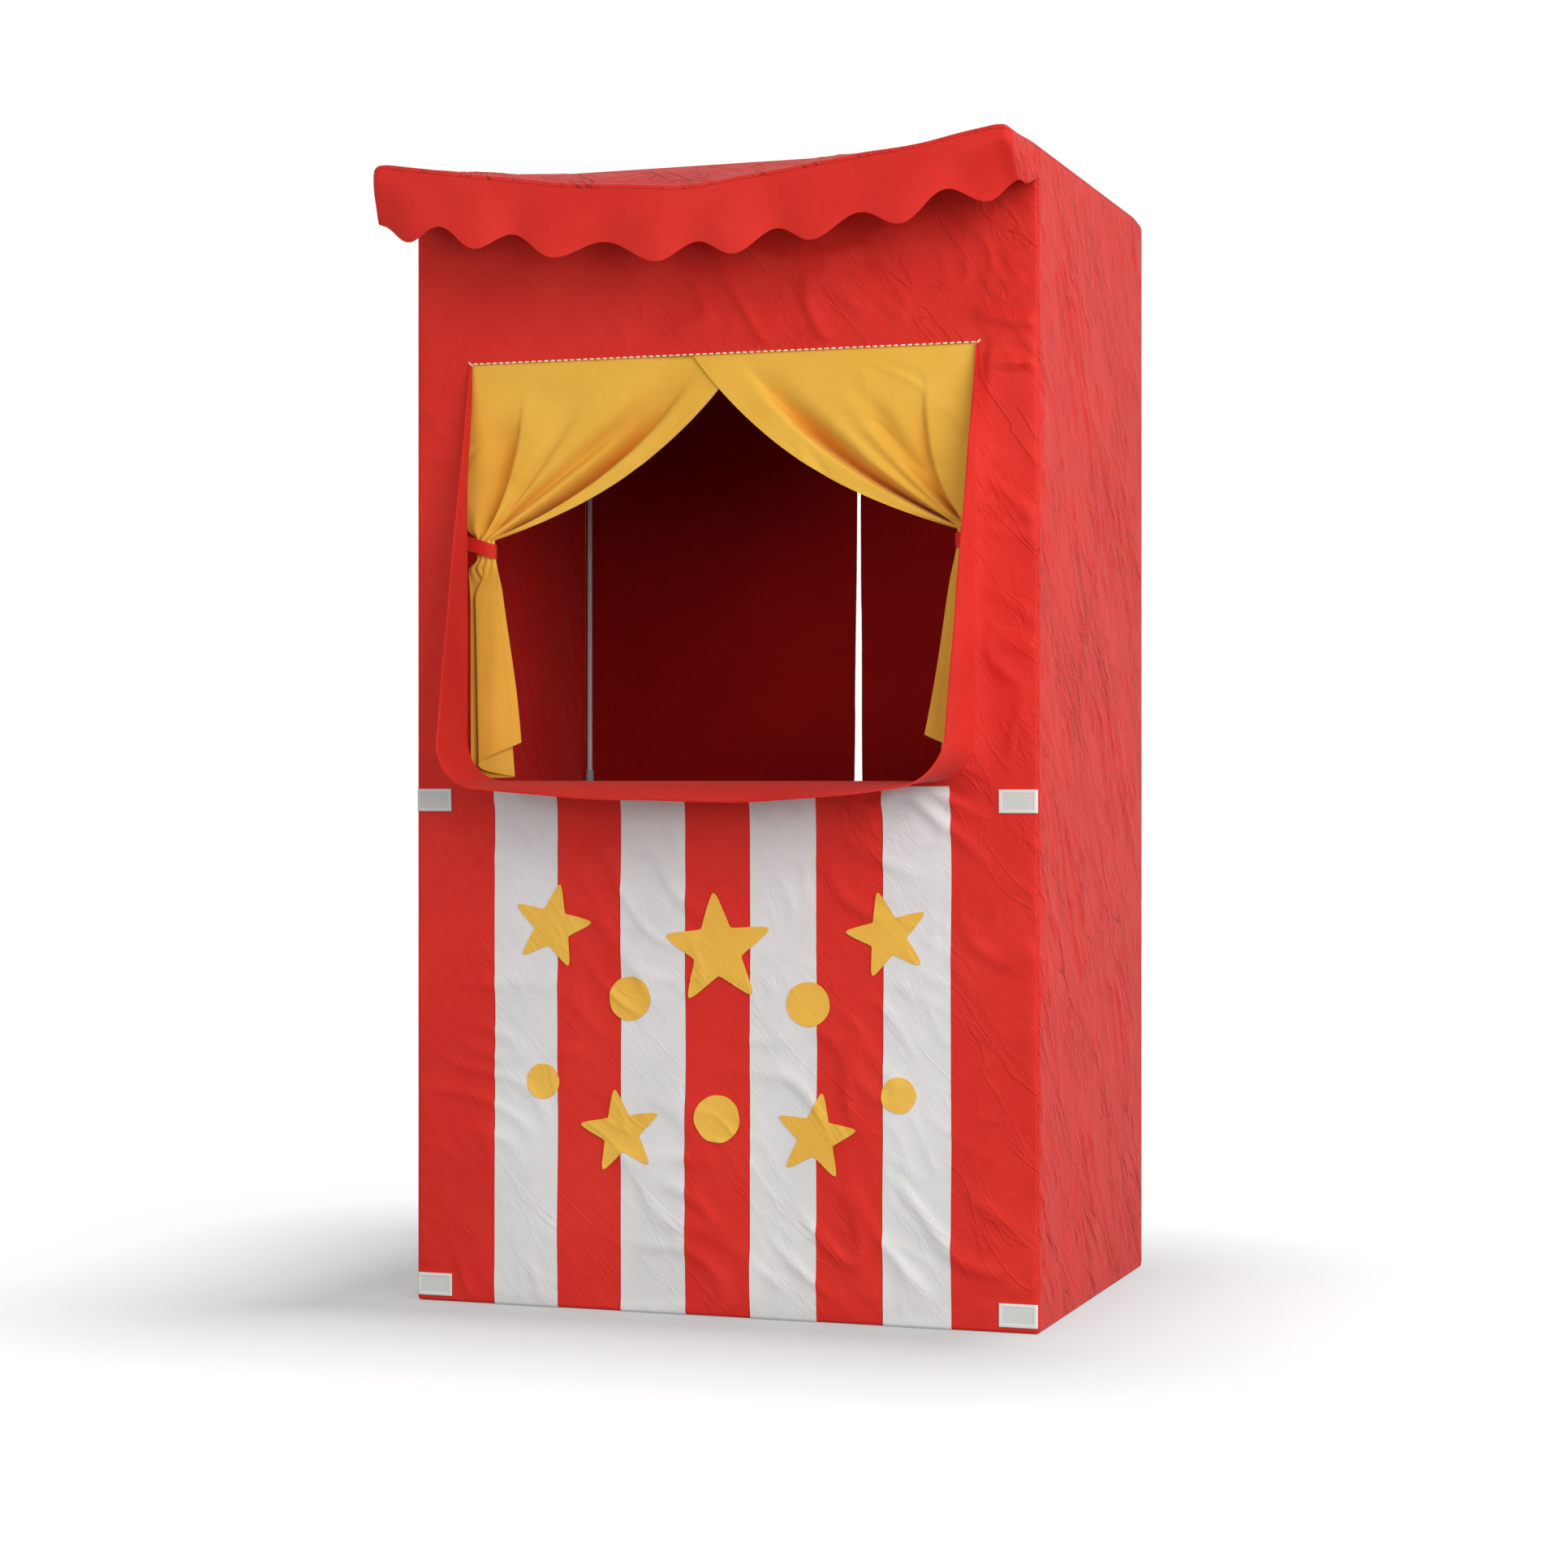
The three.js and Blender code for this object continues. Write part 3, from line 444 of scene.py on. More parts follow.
def cut_from(piece, shaped=False):
    """Hands the piece back as it is. Where the cut isn't a rectangle, it reads the area of each
    face, half of whose sum is the cut's area; nothing uses them."""
    if shaped:
        surface = np.empty(len(piece.data.polygons))
        piece.data.polygons.foreach_get("area", surface)
    return piece


def mirrored(points):
    """A grid on the booth's other side, with its outside still outside."""
    return points[:, ::-1] * (-1, 1, 1)


def steps(low, high, size):
    """Evenly spaced values from low to high, no further apart than size."""
    return np.linspace(low, high, int(math.ceil((high - low) / size)) + 1)


# Materials.
def feed(tree, node, inputs):
    """Gives each input of a node a value, or links it to another node's output."""
    for key, value in inputs.items():
        if isinstance(value, bpy.types.NodeSocket):
            tree.links.new(value, node.inputs[key])
        else:
            node.inputs[key].default_value = value


def add_node(tree, kind, inputs=None, **settings):
    """A node with its settings and its inputs."""
    node = tree.nodes.new(kind)
    for key, value in settings.items():
        setattr(node, key, value)
    feed(tree, node, inputs or {})
    return node


def add_math(tree, operation, *values):
    """The result of one operation on values or on other nodes' outputs."""
    inputs = dict(enumerate(values))
    return add_node(tree, "ShaderNodeMath", inputs, operation=operation).outputs[0]


def add_vector_math(tree, operation, *values):
    """The outputs of one operation on vectors."""
    inputs = dict(enumerate(values))
    return add_node(tree, "ShaderNodeVectorMath", inputs, operation=operation).outputs


def add_noise(tree, place, scale, detail=2.0, roughness=0.5, distortion=0.0):
    """A noise between 0 and 1 at the given coordinates."""
    inputs = {
        "Vector": place,
        "Scale": scale,
        "Detail": detail,
        "Roughness": roughness,
        "Distortion": distortion,
    }
    return add_node(tree, "ShaderNodeTexNoise", inputs).outputs["Fac"]


def add_bump(tree, height, distance, strength=1.0, under=None):
    """A normal that follows a height, on top of another normal where there is one."""
    inputs = {"Height": height, "Distance": distance, "Strength": strength}
    if under is not None:
        inputs["Normal"] = under
    return add_node(tree, "ShaderNodeBump", inputs).outputs["Normal"]


def remap(tree, value, low, high, first=0.0, last=1.0):
    """A value that runs from low to high, brought to run from first to last."""
    inputs = {"Value": value, 1: low, 2: high, 3: first, 4: last}
    return add_node(tree, "ShaderNodeMapRange", inputs).outputs["Result"]


def multiply_colour(tree, share, colour, by):
    """A colour multiplied by another one, to the given share."""
    inputs = {"Fac": share, "Color1": colour, "Color2": by}
    mixed = add_node(tree, "ShaderNodeMixRGB", inputs, blend_type="MULTIPLY")
    return mixed.outputs["Color"]


def read_value(tree, name):
    """One of the values that a mesh holds for each of its points."""
    return add_node(tree, "ShaderNodeAttribute", attribute_name=name).outputs["Fac"]


def on_cloth(tree):
    """Coordinates along the flat cloth, in metres."""
    return add_node(tree, "ShaderNodeUVMap", uv_map="cloth").outputs["UV"]


def on_object(tree):
    """Coordinates in the part's own frame."""
    return add_node(tree, "ShaderNodeTexCoord").outputs["Object"]


def new_material(name):
    """An empty material with its node tree and its shader."""
    material = bpy.data.materials.new(name)
    material.use_nodes = True
    return material, material.node_tree, material.node_tree.nodes["Principled BSDF"]


def linear(red, green, blue):
    """A colour given as in a picture, 0 to 255, in the shader's linear values."""
    share = np.array([red, green, blue]) / 255
    low, high = share / 12.92, ((share + 0.055) / 1.055) ** 2.4
    return (*np.where(share <= 0.04045, low, high).tolist(), 1.0)


def colour_ramp(tree, factor, stops):
    """A colour that runs through the given stops, each a place from 0 to 1 and its colour."""
    ramp = add_node(tree, "ShaderNodeValToRGB", {"Fac": factor})
    ramp.color_ramp.elements[0].position, ramp.color_ramp.elements[0].color = stops[0]
    ramp.color_ramp.elements[1].position, ramp.color_ramp.elements[1].color = stops[-1]
    for position, colour in stops[1:-1]:
        ramp.color_ramp.elements.new(position).color = colour
    return ramp.outputs["Color"]


def weave_height(tree, thread):
    """Threads that cross at right angles: two waves along the cloth, multiplied."""
    scale = 2 * math.pi / 20 / thread  # a wave texture's period is 2 pi / 20 at scale 1
    inputs = {"Vector": on_cloth(tree), "Scale": scale, "Distortion": 0.6, "Detail": 1.0}
    waves = [
        add_node(tree, "ShaderNodeTexWave", inputs, bands_direction=direction).outputs["Fac"]
        for direction in ("X", "Y")
    ]
    return add_math(tree, "MULTIPLY", *waves)


def crease_lines(tree, lean, spacing, length):
    """Crisp folds along lines at an angle of lean from upright: one where a noise that is
    stretched along them crosses its middle value, wherever a slower noise lets it show."""
    inputs = {
        "Vector": on_cloth(tree),
        "Rotation": (0.0, 0.0, math.radians(lean)),
        "Scale": (spacing, length, 1.0),
    }
    turned = add_node(tree, "ShaderNodeMapping", inputs, vector_type="TEXTURE").outputs["Vector"]
    run = add_noise(tree, turned, 1.0, detail=2.5, distortion=0.7)
    off_middle = add_math(tree, "ABSOLUTE", add_math(tree, "SUBTRACT", run, 0.5))
    line = remap(tree, off_middle, 0.0, 0.05, 1.0, 0.0)
    shown = remap(tree, add_noise(tree, turned, 0.45), 0.44, 0.60)
    return add_math(tree, "MULTIPLY", line, shown)


def crumpled(tree, depth):
    """A normal with crisp creases in two sizes, as strong as the cloth's own crumple value."""
    large = crease_lines(tree, 42, 0.036, 0.15)
    small = crease_lines(tree, 34, 0.018, 0.060)
    both = add_math(tree, "MULTIPLY_ADD", small, 0.5, large)
    height = add_math(tree, "MULTIPLY", both, read_value(tree, "crumple"))
    return add_bump(tree, height, depth)


def cloth_normal(tree, place):
    """Creases, then a soft unevenness, then the threads, each on top of the one before."""
    uneven = add_noise(tree, place, 55.0, detail=4.0, roughness=0.55, distortion=0.8)
    soft = add_bump(tree, uneven, GRAIN_DEPTH, 0.6, crumpled(tree, CREASE_DEPTH))
    return add_bump(tree, weave_height(tree, THREAD_PITCH), THREAD_DEPTH, 0.5, soft)


def cloth_material(
    name, colour, pale, deep, inner=WHITE, shade_colour=FOLD_SHADE_YELLOW, sheen=0.08, gloss=0.25
):
    """Woven cloth: soft patches of three shades, threads, and creases too fine for the mesh.
    Its colour is multiplied by inner on its inner face, which is also duller: painted shade for
    the booth's dim inside. Where it lies deep in a fold or a hollow it is multiplied by a shade
    colour: painted shade. The three shades are given as in a picture."""
    material, tree, shader = new_material(name)
    place = on_object(tree)
    mottle = add_noise(tree, place, 7.0, detail=6.0, roughness=0.62)
    shades = zip((0.30, 0.52, 0.72), (deep, colour, pale))
    dyed = colour_ramp(tree, mottle, [(place, linear(*shade)) for place, shade in shades])
    inside = read_value(tree, "inside")
    # Painted shade: the inner face's colour is multiplied by inner, standing in for the dim light
    # inside the booth.
    inside_shaded = multiply_colour(tree, inside, dyed, inner)
    # The painted shade value darkens the colour towards the shade colour: painted shade in folds
    # and hollows.
    inputs = {
        "Base Color": multiply_colour(tree, read_value(tree, "painted_shade"), inside_shaded, shade_colour),
        "Roughness": remap(tree, inside, 0.0, 1.0, *CLOTH_ROUGHNESS),
        "Specular IOR Level": gloss,
        "Sheen Weight": sheen,
        "Sheen Roughness": SHEEN_ROUGHNESS,
        "Normal": cloth_normal(tree, place),
    }
    feed(tree, shader, inputs)
    return material


def fabric(material, slot, thickness):
    """A kind of cloth: its material, the slot it belongs to and how thick it is."""
    return {"material": material, "slot": slot, "thickness": thickness}


def steel_material():
    """Thin tube with a satin grey coat, a little uneven in colour and gloss."""
    material, tree, shader = new_material("coated_steel")
    spots = add_noise(tree, on_object(tree), 45.0, detail=5.0)
    tint = colour_ramp(tree, spots, [(0.3, linear(206, 213, 214)), (0.7, linear(220, 227, 228))])
    dull = colour_ramp(tree, spots, [(0.3, (0.32, 0.32, 0.32, 1)), (0.7, (0.46, 0.46, 0.46, 1))])
    feed(tree, shader, {"Base Color": tint, "Roughness": dull, "Metallic": 0.05})
    return material


def plastic_material():
    """Moulded grey plastic with a fine grain."""
    material, tree, shader = new_material("moulded_plastic")
    place = on_object(tree)
    cloud = add_noise(tree, place, 30.0, detail=3.0)
    tint = colour_ramp(tree, cloud, [(0.3, linear(162, 166, 168)), (0.7, linear(176, 180, 182))])
    grain = add_bump(tree, add_noise(tree, place, 900.0, detail=3.0), 0.0001, 0.4)
    feed(tree, shader, {"Base Color": tint, "Roughness": 0.5, "Normal": grain})
    return material


def red_cloth(name, inner, sheen=0.09):
    """The cover's red cloth, its inner face darkened by an inner colour, as painted shade for the
    booth's dim inside.
    """
    shades = (212, 42, 31), (217, 48, 36), (205, 36, 26)
    material = cloth_material(name, *shades, inner=inner, sheen=sheen, gloss=0.18)
    return fabric(material, "red_cloth", CLOTH)


# Inner colours are painted shade for the booth's dim inside, deepest on the back flaps seen
# through the window.
RED = red_cloth("red_cloth", (1.0, 0.34, 0.40, 1.0))
BACK_RED = red_cloth("red_back_cloth", (0.54, 0.15, 0.25, 1.0))
APRON_RED = red_cloth("red_apron_cloth", WHITE, sheen=0.03)
AWNING_RED = red_cloth("red_awning_cloth", WHITE, sheen=0.03)
STRIPE = fabric(
    cloth_material("white_cloth", (221, 219, 219), (226, 224, 224), (214, 212, 212)),
    "white_cloth",
    STRIPE_CLOTH,
)
YELLOW = fabric(
    cloth_material("yellow_cloth", (232, 180, 68), (236, 187, 78), (226, 172, 60), sheen=0.06),
    "yellow_cloth",
    CURTAIN_CLOTH,
)
TAPE = fabric(
    cloth_material(
        "hook_tape", (217, 219, 214), (223, 225, 220), (209, 211, 207), shade_colour=HOOK_HOLLOW_SHADE
    ),
    "hook_tape",
    PATCH_THICKNESS,
)
THREAD = fabric(
    cloth_material("cream_thread", (246, 232, 188), (250, 240, 204), (236, 218, 170)),
    "yellow_cloth",
    CLOTH,
)
STEEL = steel_material()
PLASTIC = plastic_material()


# Cover: walls that stand on a plan and turn in under the floor rails.
def front_plan(along):
    """Straight across the front, with an arc round each corner as far as the upright seam."""
    side = np.sign(along)
    turn = np.clip(np.abs(along) - FRONT_FLAT, 0, None) / CORNER_RADIUS
    x = side * (np.minimum(np.abs(along), FRONT_FLAT) + CORNER_RADIUS * np.sin(turn))
    y = CORNER_RADIUS * (1 - np.cos(turn))
    return x, y, side * np.sin(turn), -np.cos(turn)


def side_plan(along):
    """From the upright seam at the front right corner, round an arc and straight to the back."""
    turn = np.clip(-along, 0, None) / CORNER_RADIUS
    x = HALF_WIDTH - CORNER_RADIUS * (1 - np.cos(turn))
    y = CORNER_RADIUS * (1 - np.sin(turn)) + np.clip(along, 0, None)
    return x, y, np.cos(turn), -np.sin(turn)


def wall_points(plan, rise, out, slide):
    """Each column stands on a point of the plan. The lowest part of its rise is the hem, which
    turns through a quarter circle and then runs back along the floor by slide."""
    x, y, normal_x, normal_y = plan
    turn = np.clip((HEM_ARC - rise) / HEM_RADIUS, 0, np.pi / 2)
    inward = HEM_RADIUS * (1 - np.cos(turn))
    height = FLOOR_GAP + HEM_RADIUS * (1 - np.sin(turn)) + np.clip(rise - HEM_ARC, 0, None)
    run = np.clip(-rise, 0, None)
    level = out * np.cos(turn) - inward
    x = x + normal_x * level + slide[0] * run
    y = y + normal_y * level + slide[1] * run
    return grid_of(x, y, height - out * np.sin(turn))


def rise_of(height):
    """How far along a wall's cloth, from the foot of its hem, a height lies."""
    return height - FLOOR_GAP - HEM_RADIUS + HEM_ARC


def height_of(rise):
    """The height of a place along a wall's cloth; the reverse of rise_of."""
    return rise + FLOOR_GAP + HEM_RADIUS - HEM_ARC


def window_distance(x, z):
    """How far outside the stage window a point of the front lies."""
    beside = np.clip(np.abs(x) - WINDOW_HALF, 0, None)
    above = np.clip(np.maximum(z - WINDOW_TOP, WINDOW_SILL - z), 0, None)
    return np.hypot(beside, above)


def patch_distance(x, z):
    """How far outside the nearest hook-tape patch a point of the front lies."""
    beside = np.maximum(PATCH_LEFT - np.abs(x), np.abs(x) - PATCH_RIGHT)
    upper, lower = (np.abs(z - centre) - PATCH_HALF_HEIGHT for centre in PATCH_CENTRES.values())
    level = np.minimum(upper, lower)
    return np.hypot(np.clip(beside, 0, None), np.clip(level, 0, None))


def apron_pull(z):
    """How far the apron draws the window's edge out, at a height: nothing at the top."""
    return APRON_PULL * smooth((WINDOW_TOP - z) / WINDOW_HEIGHT, 0.02, 0.35)


def front_crumple(x, z):
    """How strongly the front is creased: most beside the right seam, least at the lower left."""
    return 0.32 + 0.68 * smooth(x, -0.30, 0.30) * (0.40 + 0.60 * smooth(z, 0.50, 0.80))


def front_swell(x, z):
    """How far the front cloth stands out of its plane, with slanting creases. It is flat where
    it is sewn."""
    broad = 0.0026 * noise(x / 0.20, z / 0.16, 11)
    folds = summed_creases(x, z, FRONT_CREASES)
    fine = 0.0004 * noise(x / 0.03, z / 0.03, 31)
    sewn = smooth(window_distance(x, z), 0.003, 0.022)
    sewn = sewn * smooth(patch_distance(x, z), 0.001, 0.020)
    sewn = sewn * smooth(HALF_WIDTH - np.abs(x), 0.0, 0.012)
    sewn = sewn * smooth(z, 0.0, 0.02) * smooth(ROOF_SEAM - z, 0.0, 0.02)
    pulled = apron_pull(z) * np.exp(-window_distance(x, z) / PULL_WIDTH)
    return pulled + sewn * (broad + front_crumple(x, z) * (folds + fine))


def side_swell(y, z, seed):
    """How far a side's cloth stands out: dense slanting creases and puckers along the seam."""
    broad = 0.0012 * noise(y / 0.22, z / 0.34, seed)
    folds = summed_creases(y, z, SIDE_CREASES, seed)
    fine = 0.0005 * noise(y / 0.02, z / 0.03, seed + 21)
    pucker = 0.0024 * noise(y / 0.03, z / 0.016, seed + 31) * (1 - smooth(y, 0.008, 0.045))
    held = smooth(y, 0.004, 0.016) * smooth(DEPTH - y, 0.004, 0.020)
    held = held * smooth(z, 0.0, 0.02) * smooth(ROOF_SEAM - z, 0.0, 0.015)
    return held * (broad + folds + fine + pucker)


def round_window(x, z):
    """Moves the cloth beside the window's two lower corners in to their quarter circles. The
    edge of the square corner goes to the arc, and the cloth behind it follows less and less,
    by the square of what is left of the distance over which it is moved."""
    reach = 0.060
    for side in (-1, 1):
        near = WINDOW_HALF - side * x  # from the corner into the window
        above = z - WINDOW_SILL
        along = np.clip(near - above, -WINDOW_RADIUS, WINDOW_RADIUS)
        angle = np.pi / 4 * (5 + along / WINDOW_RADIUS)
        arc_near = WINDOW_RADIUS * (1 + np.cos(angle))
        arc_above = WINDOW_RADIUS * (1 + np.sin(angle))
        behind = np.maximum(np.clip(-near, 0, None), np.clip(-above, 0, None))
        share = np.clip(1 - behind / reach, 0, 1) ** 2
        share = share * (near < WINDOW_RADIUS + 1e-6) * (above < WINDOW_RADIUS + 1e-6)
        x = x - side * share * (arc_near - np.clip(along, 0, None))
        z = z + share * (arc_above - np.clip(-along, 0, None))
    return x, z


def front_points(along, rise, lift):
    """Points of the front at a distance of lift outside its face, with the cover's creases."""
    along, rise = np.broadcast_arrays(along, rise)
    plan = front_plan(along)
    height = np.clip(height_of(rise), 0, None)
    out = lift + front_swell(plan[0], height)
    slide = (-plan[0] / FRONT_FLAT, np.ones_like(along))
    return wall_points(plan, rise, out, slide)


def hem_rises():
    """Rows of a wall's hem: along the floor and round the quarter circle."""
    floor = np.linspace(-HEM_RETURN, 0, 4)[:-1]
    bend = np.linspace(0, HEM_ARC, 5)[:-1]
    return np.concatenate([floor, bend])


def corner_steps():
    """Three steps round half of an upright corner, the last one short of the seam."""
    return CORNER_RADIUS * np.linspace(0, np.pi / 4, 4)[1:] - np.array([0, 0, SEAM_GAP / 2])


def front_grid():
    """Distances across the front and up its cloth, with finer steps beside the window."""
    fine, near = GRID_STEP / 2, 0.035
    beside = steps(WINDOW_HALF, WINDOW_HALF + near, fine)[1:]
    beside = np.concatenate([beside, steps(WINDOW_HALF + near, FRONT_FLAT, GRID_STEP)[1:]])
    beside = np.concatenate([beside, FRONT_FLAT + corner_steps()])
    middle = steps(-WINDOW_HALF, WINDOW_HALF, GRID_STEP)
    along = np.concatenate([-beside[::-1], middle, beside])
    heights = [
        steps(HEM_RADIUS + FLOOR_GAP, WINDOW_SILL - near, GRID_STEP)[:-1],
        steps(WINDOW_SILL - near, WINDOW_SILL, fine)[:-1],
        steps(WINDOW_SILL, WINDOW_TOP, GRID_STEP)[:-1],
        steps(WINDOW_TOP, ROOF_SEAM - SEAM_GAP, GRID_STEP),
    ]
    return along, np.concatenate([hem_rises(), rise_of(np.concatenate(heights))])


def outside_window(along, rise):
    """Which cells of the front's grid stay: all but those in the stage window."""
    cell_x = (along[1:] + along[:-1]) / 2
    cell_z = height_of((rise[1:] + rise[:-1]) / 2)
    in_width = np.abs(cell_x) < WINDOW_HALF
    in_height = (cell_z > WINDOW_SILL) & (cell_z < WINDOW_TOP)
    return ~(in_height[:, None] & in_width[None, :])


def make_front(stitching):
    """The front panel: its grid on the plan, with the window's lower corners rounded."""
    along, rise = front_grid()
    points = front_points(along[None, :], rise[:, None], -CLOTH / 2)
    x, z = round_window(points[..., 0], points[..., 2])
    points = np.stack([x, points[..., 1], z], axis=-1)
    crumple = 0.40 * front_crumple(x, z) * smooth(patch_distance(x, z), 0.0, 0.01)
    keep = outside_window(along, rise)
    piece = add_sheet("front_panel", points, RED, ["cover_front"], keep=keep, crumple=crumple)
    return cut_from(piece, True)


def side_points(seed):
    """The right side from the upright seam to its back edge. Its hem meets the front's on a
    mitre, which fades out along the side."""
    mitre = 0.06
    along = np.concatenate([-corner_steps()[::-1], steps(0, SIDE_LENGTH, GRID_STEP)])
    heights = steps(HEM_RADIUS + FLOOR_GAP, ROOF_SEAM - SEAM_GAP, GRID_STEP)
    rise = np.concatenate([hem_rises(), rise_of(heights)])
    along, rise = np.meshgrid(along, rise)
    plan = side_plan(along)
    out = side_swell(plan[1], np.clip(height_of(rise), 0, None), seed) - CLOTH / 2
    near_front = np.clip(1 - plan[1] / mitre, 0, 1)
    slide = (-np.ones_like(along), near_front)
    return round_shoulder(wall_points(plan, rise, out, slide))


def make_side(side, name):
    """A side panel; the left one is the right one's mirror image, with its own creases."""
    points = side_points(90 + 50 * side)
    if side < 0:
        points = mirrored(points)
    replaced = [f"cover_{name}"]
    piece = add_sheet(f"{name}_panel", points, RED, replaced, crumple=1.0, mirror=side < 0)
    return cut_from(piece)


def lip(along, flat, radius):
    """A sheet that lies flat and then turns down round a quarter circle at both ends: how far
    out a point lies, and the share of the radius by which it has kept its height."""
    turn = np.clip((np.abs(along) - flat) / radius, 0, np.pi / 2)
    out = np.minimum(np.abs(along), flat) + radius * np.sin(turn)
    return np.sign(along) * out, np.cos(turn), np.sin(turn)


def lip_steps(flat, radius, size, count=5):
    """Values along such a sheet from its middle to the foot of one quarter circle."""
    bend = flat + radius * np.linspace(0, np.pi / 2, count)[1:]
    return np.concatenate([steps(0, flat, size), bend])


def both_ways(half):
    """Values from zero up, with the same values below zero."""
    return np.concatenate([-half[:0:-1], half])


def top_swell(x, y, seed):
    """Crumples of the roof and the awning, in two directions."""
    broad = 0.0030 * noise(x / 0.25, y / 0.16, seed)
    return broad + summed_creases(x, y, TOP_CREASES, seed)


def drawn_in(first, second, radius):
    """How far a point near a square corner is drawn in to round it, along both of the corner's
    directions. first and second say how far it lies short of the corner's two faces."""
    one = np.clip(1 - first / radius, 0, 1)
    two = np.clip(1 - second / radius, 0, 1)
    back_one = radius * one * (1 - np.sqrt(1 - two**2 / 2))
    back_two = radius * two * (1 - np.sqrt(1 - one**2 / 2))
    return back_one, back_two


def round_shoulder(points):
    """Rounds the edge between the top and a side, seen from the front. Its radius grows towards
    the awning's front and towards the booth's back."""
    x, y, z = np.moveaxis(points, -1, 0)
    to_end = smooth(-y, 0.0, 0.10) + smooth(y, DEPTH - 0.06, DEPTH)
    radius = EDGE_RADIUS + (TOP_CORNER - EDGE_RADIUS) * to_end
    in_x, in_z = drawn_in(HALF_WIDTH - np.abs(x), HEIGHT - z, radius)
    return np.stack([x - np.sign(x) * in_x, y, z - in_z], axis=-1)


def round_plan(points):
    """Rounds the awning's two front corners, seen from above."""
    x, y, z = np.moveaxis(points, -1, 0)
    in_x, in_y = drawn_in(HALF_WIDTH - np.abs(x), AWNING_REACH + y, PLAN_CORNER)
    return np.stack([x - np.sign(x) * in_x, y + in_y, z], axis=-1)


def make_roof():
    """The roof lies flat and turns down at its sides and its back. Where two turns meet, each
    is drawn in by the other."""
    size, fade = 0.006, 0.03
    flat_y = DEPTH - EDGE_RADIUS
    across = both_ways(lip_steps(TOP_FLAT, LIP_RADIUS, size))
    back = lip_steps(flat_y, LIP_RADIUS, size)
    back[0] = SEAM_GAP / 2
    x, keep_x, turn_x = lip(across[None, :], TOP_FLAT, LIP_RADIUS)
    y, keep_y, turn_y = lip(back[:, None], flat_y, LIP_RADIUS)
    x = np.sign(x) * (np.abs(x) - LIP_RADIUS * turn_x * (1 - np.sqrt(1 - turn_y**2 / 2)))
    y = y - LIP_RADIUS * turn_y * (1 - np.sqrt(1 - turn_x**2 / 2))
    held = smooth(TOP_FLAT - np.abs(x), 0, fade) * smooth(DEPTH - y, 0, fade)
    held = held * smooth(y, 0, fade)
    z = ROOF_SEAM + LIP_RADIUS * keep_x * keep_y + held * top_swell(x, y, 60)
    points = round_shoulder(grid_of(x, y, z))
    piece = add_sheet("roof_panel", points, RED, ["cover_roof"], crumple=1.0)
    return cut_from(piece)


# Awning and valance.
def sag_at(x):
    """Depth of the slack cloth between the arms: nothing at each arm, most in the middle, with
    an uneven edge."""
    uneven = 0.0035 * noise(x / 0.12, 0.5, 85) * smooth(SAG_HALF_SPAN - np.abs(x), 0.0, 0.10)
    return AWNING_SAG * (1 - np.minimum(1, np.abs(x) / SAG_HALF_SPAN) ** SAG_POWER) + uneven


def scallop_phase(x):
    """A whole number at each scallop's tip and a half between two tips."""
    first = 2 * SCALLOP_TIPS[0] - SCALLOP_TIPS[1]
    lead = -HALF_WIDTH - (SCALLOP_TIPS[0] + HALF_WIDTH)
    tail = HALF_WIDTH + (HALF_WIDTH - SCALLOP_TIPS[-1])
    places = np.concatenate([[min(first, lead)], SCALLOP_TIPS, [tail]])
    return np.interp(x, places, np.arange(-1, len(SCALLOP_TIPS) + 1))


def awning_top(x, y):
    """Height of the awning's flat cloth above or below the roof's seam."""
    share = np.clip(-y / AWNING_FLAT, 0, 1)
    slack = smooth(share, 0.05, 0.4) * (1 - smooth(share, 0.75, 1.0))
    slack = slack * smooth(SAG_HALF_SPAN - np.abs(x), -0.01, 0.06)
    return -sag_at(x) * share + slack * top_swell(x, y, 80)


def make_awning():
    """The awning lies flat, sags between its arms and turns down at its front and its ends."""
    across = both_ways(lip_steps(TOP_FLAT, LIP_RADIUS, GRID_STEP))
    forward = lip_steps(AWNING_FLAT, LIP_RADIUS, GRID_STEP)[::-1]
    x, keep_x, _ = lip(across[None, :], TOP_FLAT, LIP_RADIUS)
    reach, keep_y, _ = lip(forward[:, None], AWNING_FLAT, LIP_RADIUS)
    y = -np.maximum(reach, SEAM_GAP / 2)
    z = ROOF_SEAM + LIP_RADIUS * keep_x * keep_y + awning_top(x, y)
    points = round_plan(round_shoulder(grid_of(x, y, z)))
    piece = add_sheet("awning_top", points, AWNING_RED, ["awning"], crumple=1.0)
    return cut_from(piece)


def valance_plan(along):
    """From the booth's face forward along the left end, round the corner, across the front and
    back along the right end. along is 0 in the middle of the front."""
    side = np.sign(along)
    past = np.abs(along) - TOP_FLAT
    turn = np.clip(past / LIP_RADIUS, 0, np.pi / 2)
    back = np.clip(past - LIP_RADIUS * np.pi / 2, 0, None)
    x = side * (np.minimum(np.abs(along), TOP_FLAT) + LIP_RADIUS * np.sin(turn))
    y = -AWNING_REACH + CLOTH / 2 + LIP_RADIUS * (1 - np.cos(turn)) + back
    return x, y, side * np.sin(turn), -np.cos(turn)


def valance_drop(x, back_share, on_wing, wave):
    """How far the strip's foot hangs below the top: scallops across the front, and on an end a
    line that runs up to the booth's corner."""
    lift = RIGHT_LIFT * smooth(x, 0.60 * HALF_WIDTH, 0.90 * HALF_WIDTH)
    front = VALANCE_DROP + SCALLOP_DEPTH * wave - lift
    corner = VALANCE_DROP - SCALLOP_DEPTH - lift
    wing = corner + (WING_FOOT - corner) * back_share**1.4
    wing = wing + 0.003 * np.sin(np.pi * back_share**0.6) ** 2
    return front + (wing - front) * on_wing


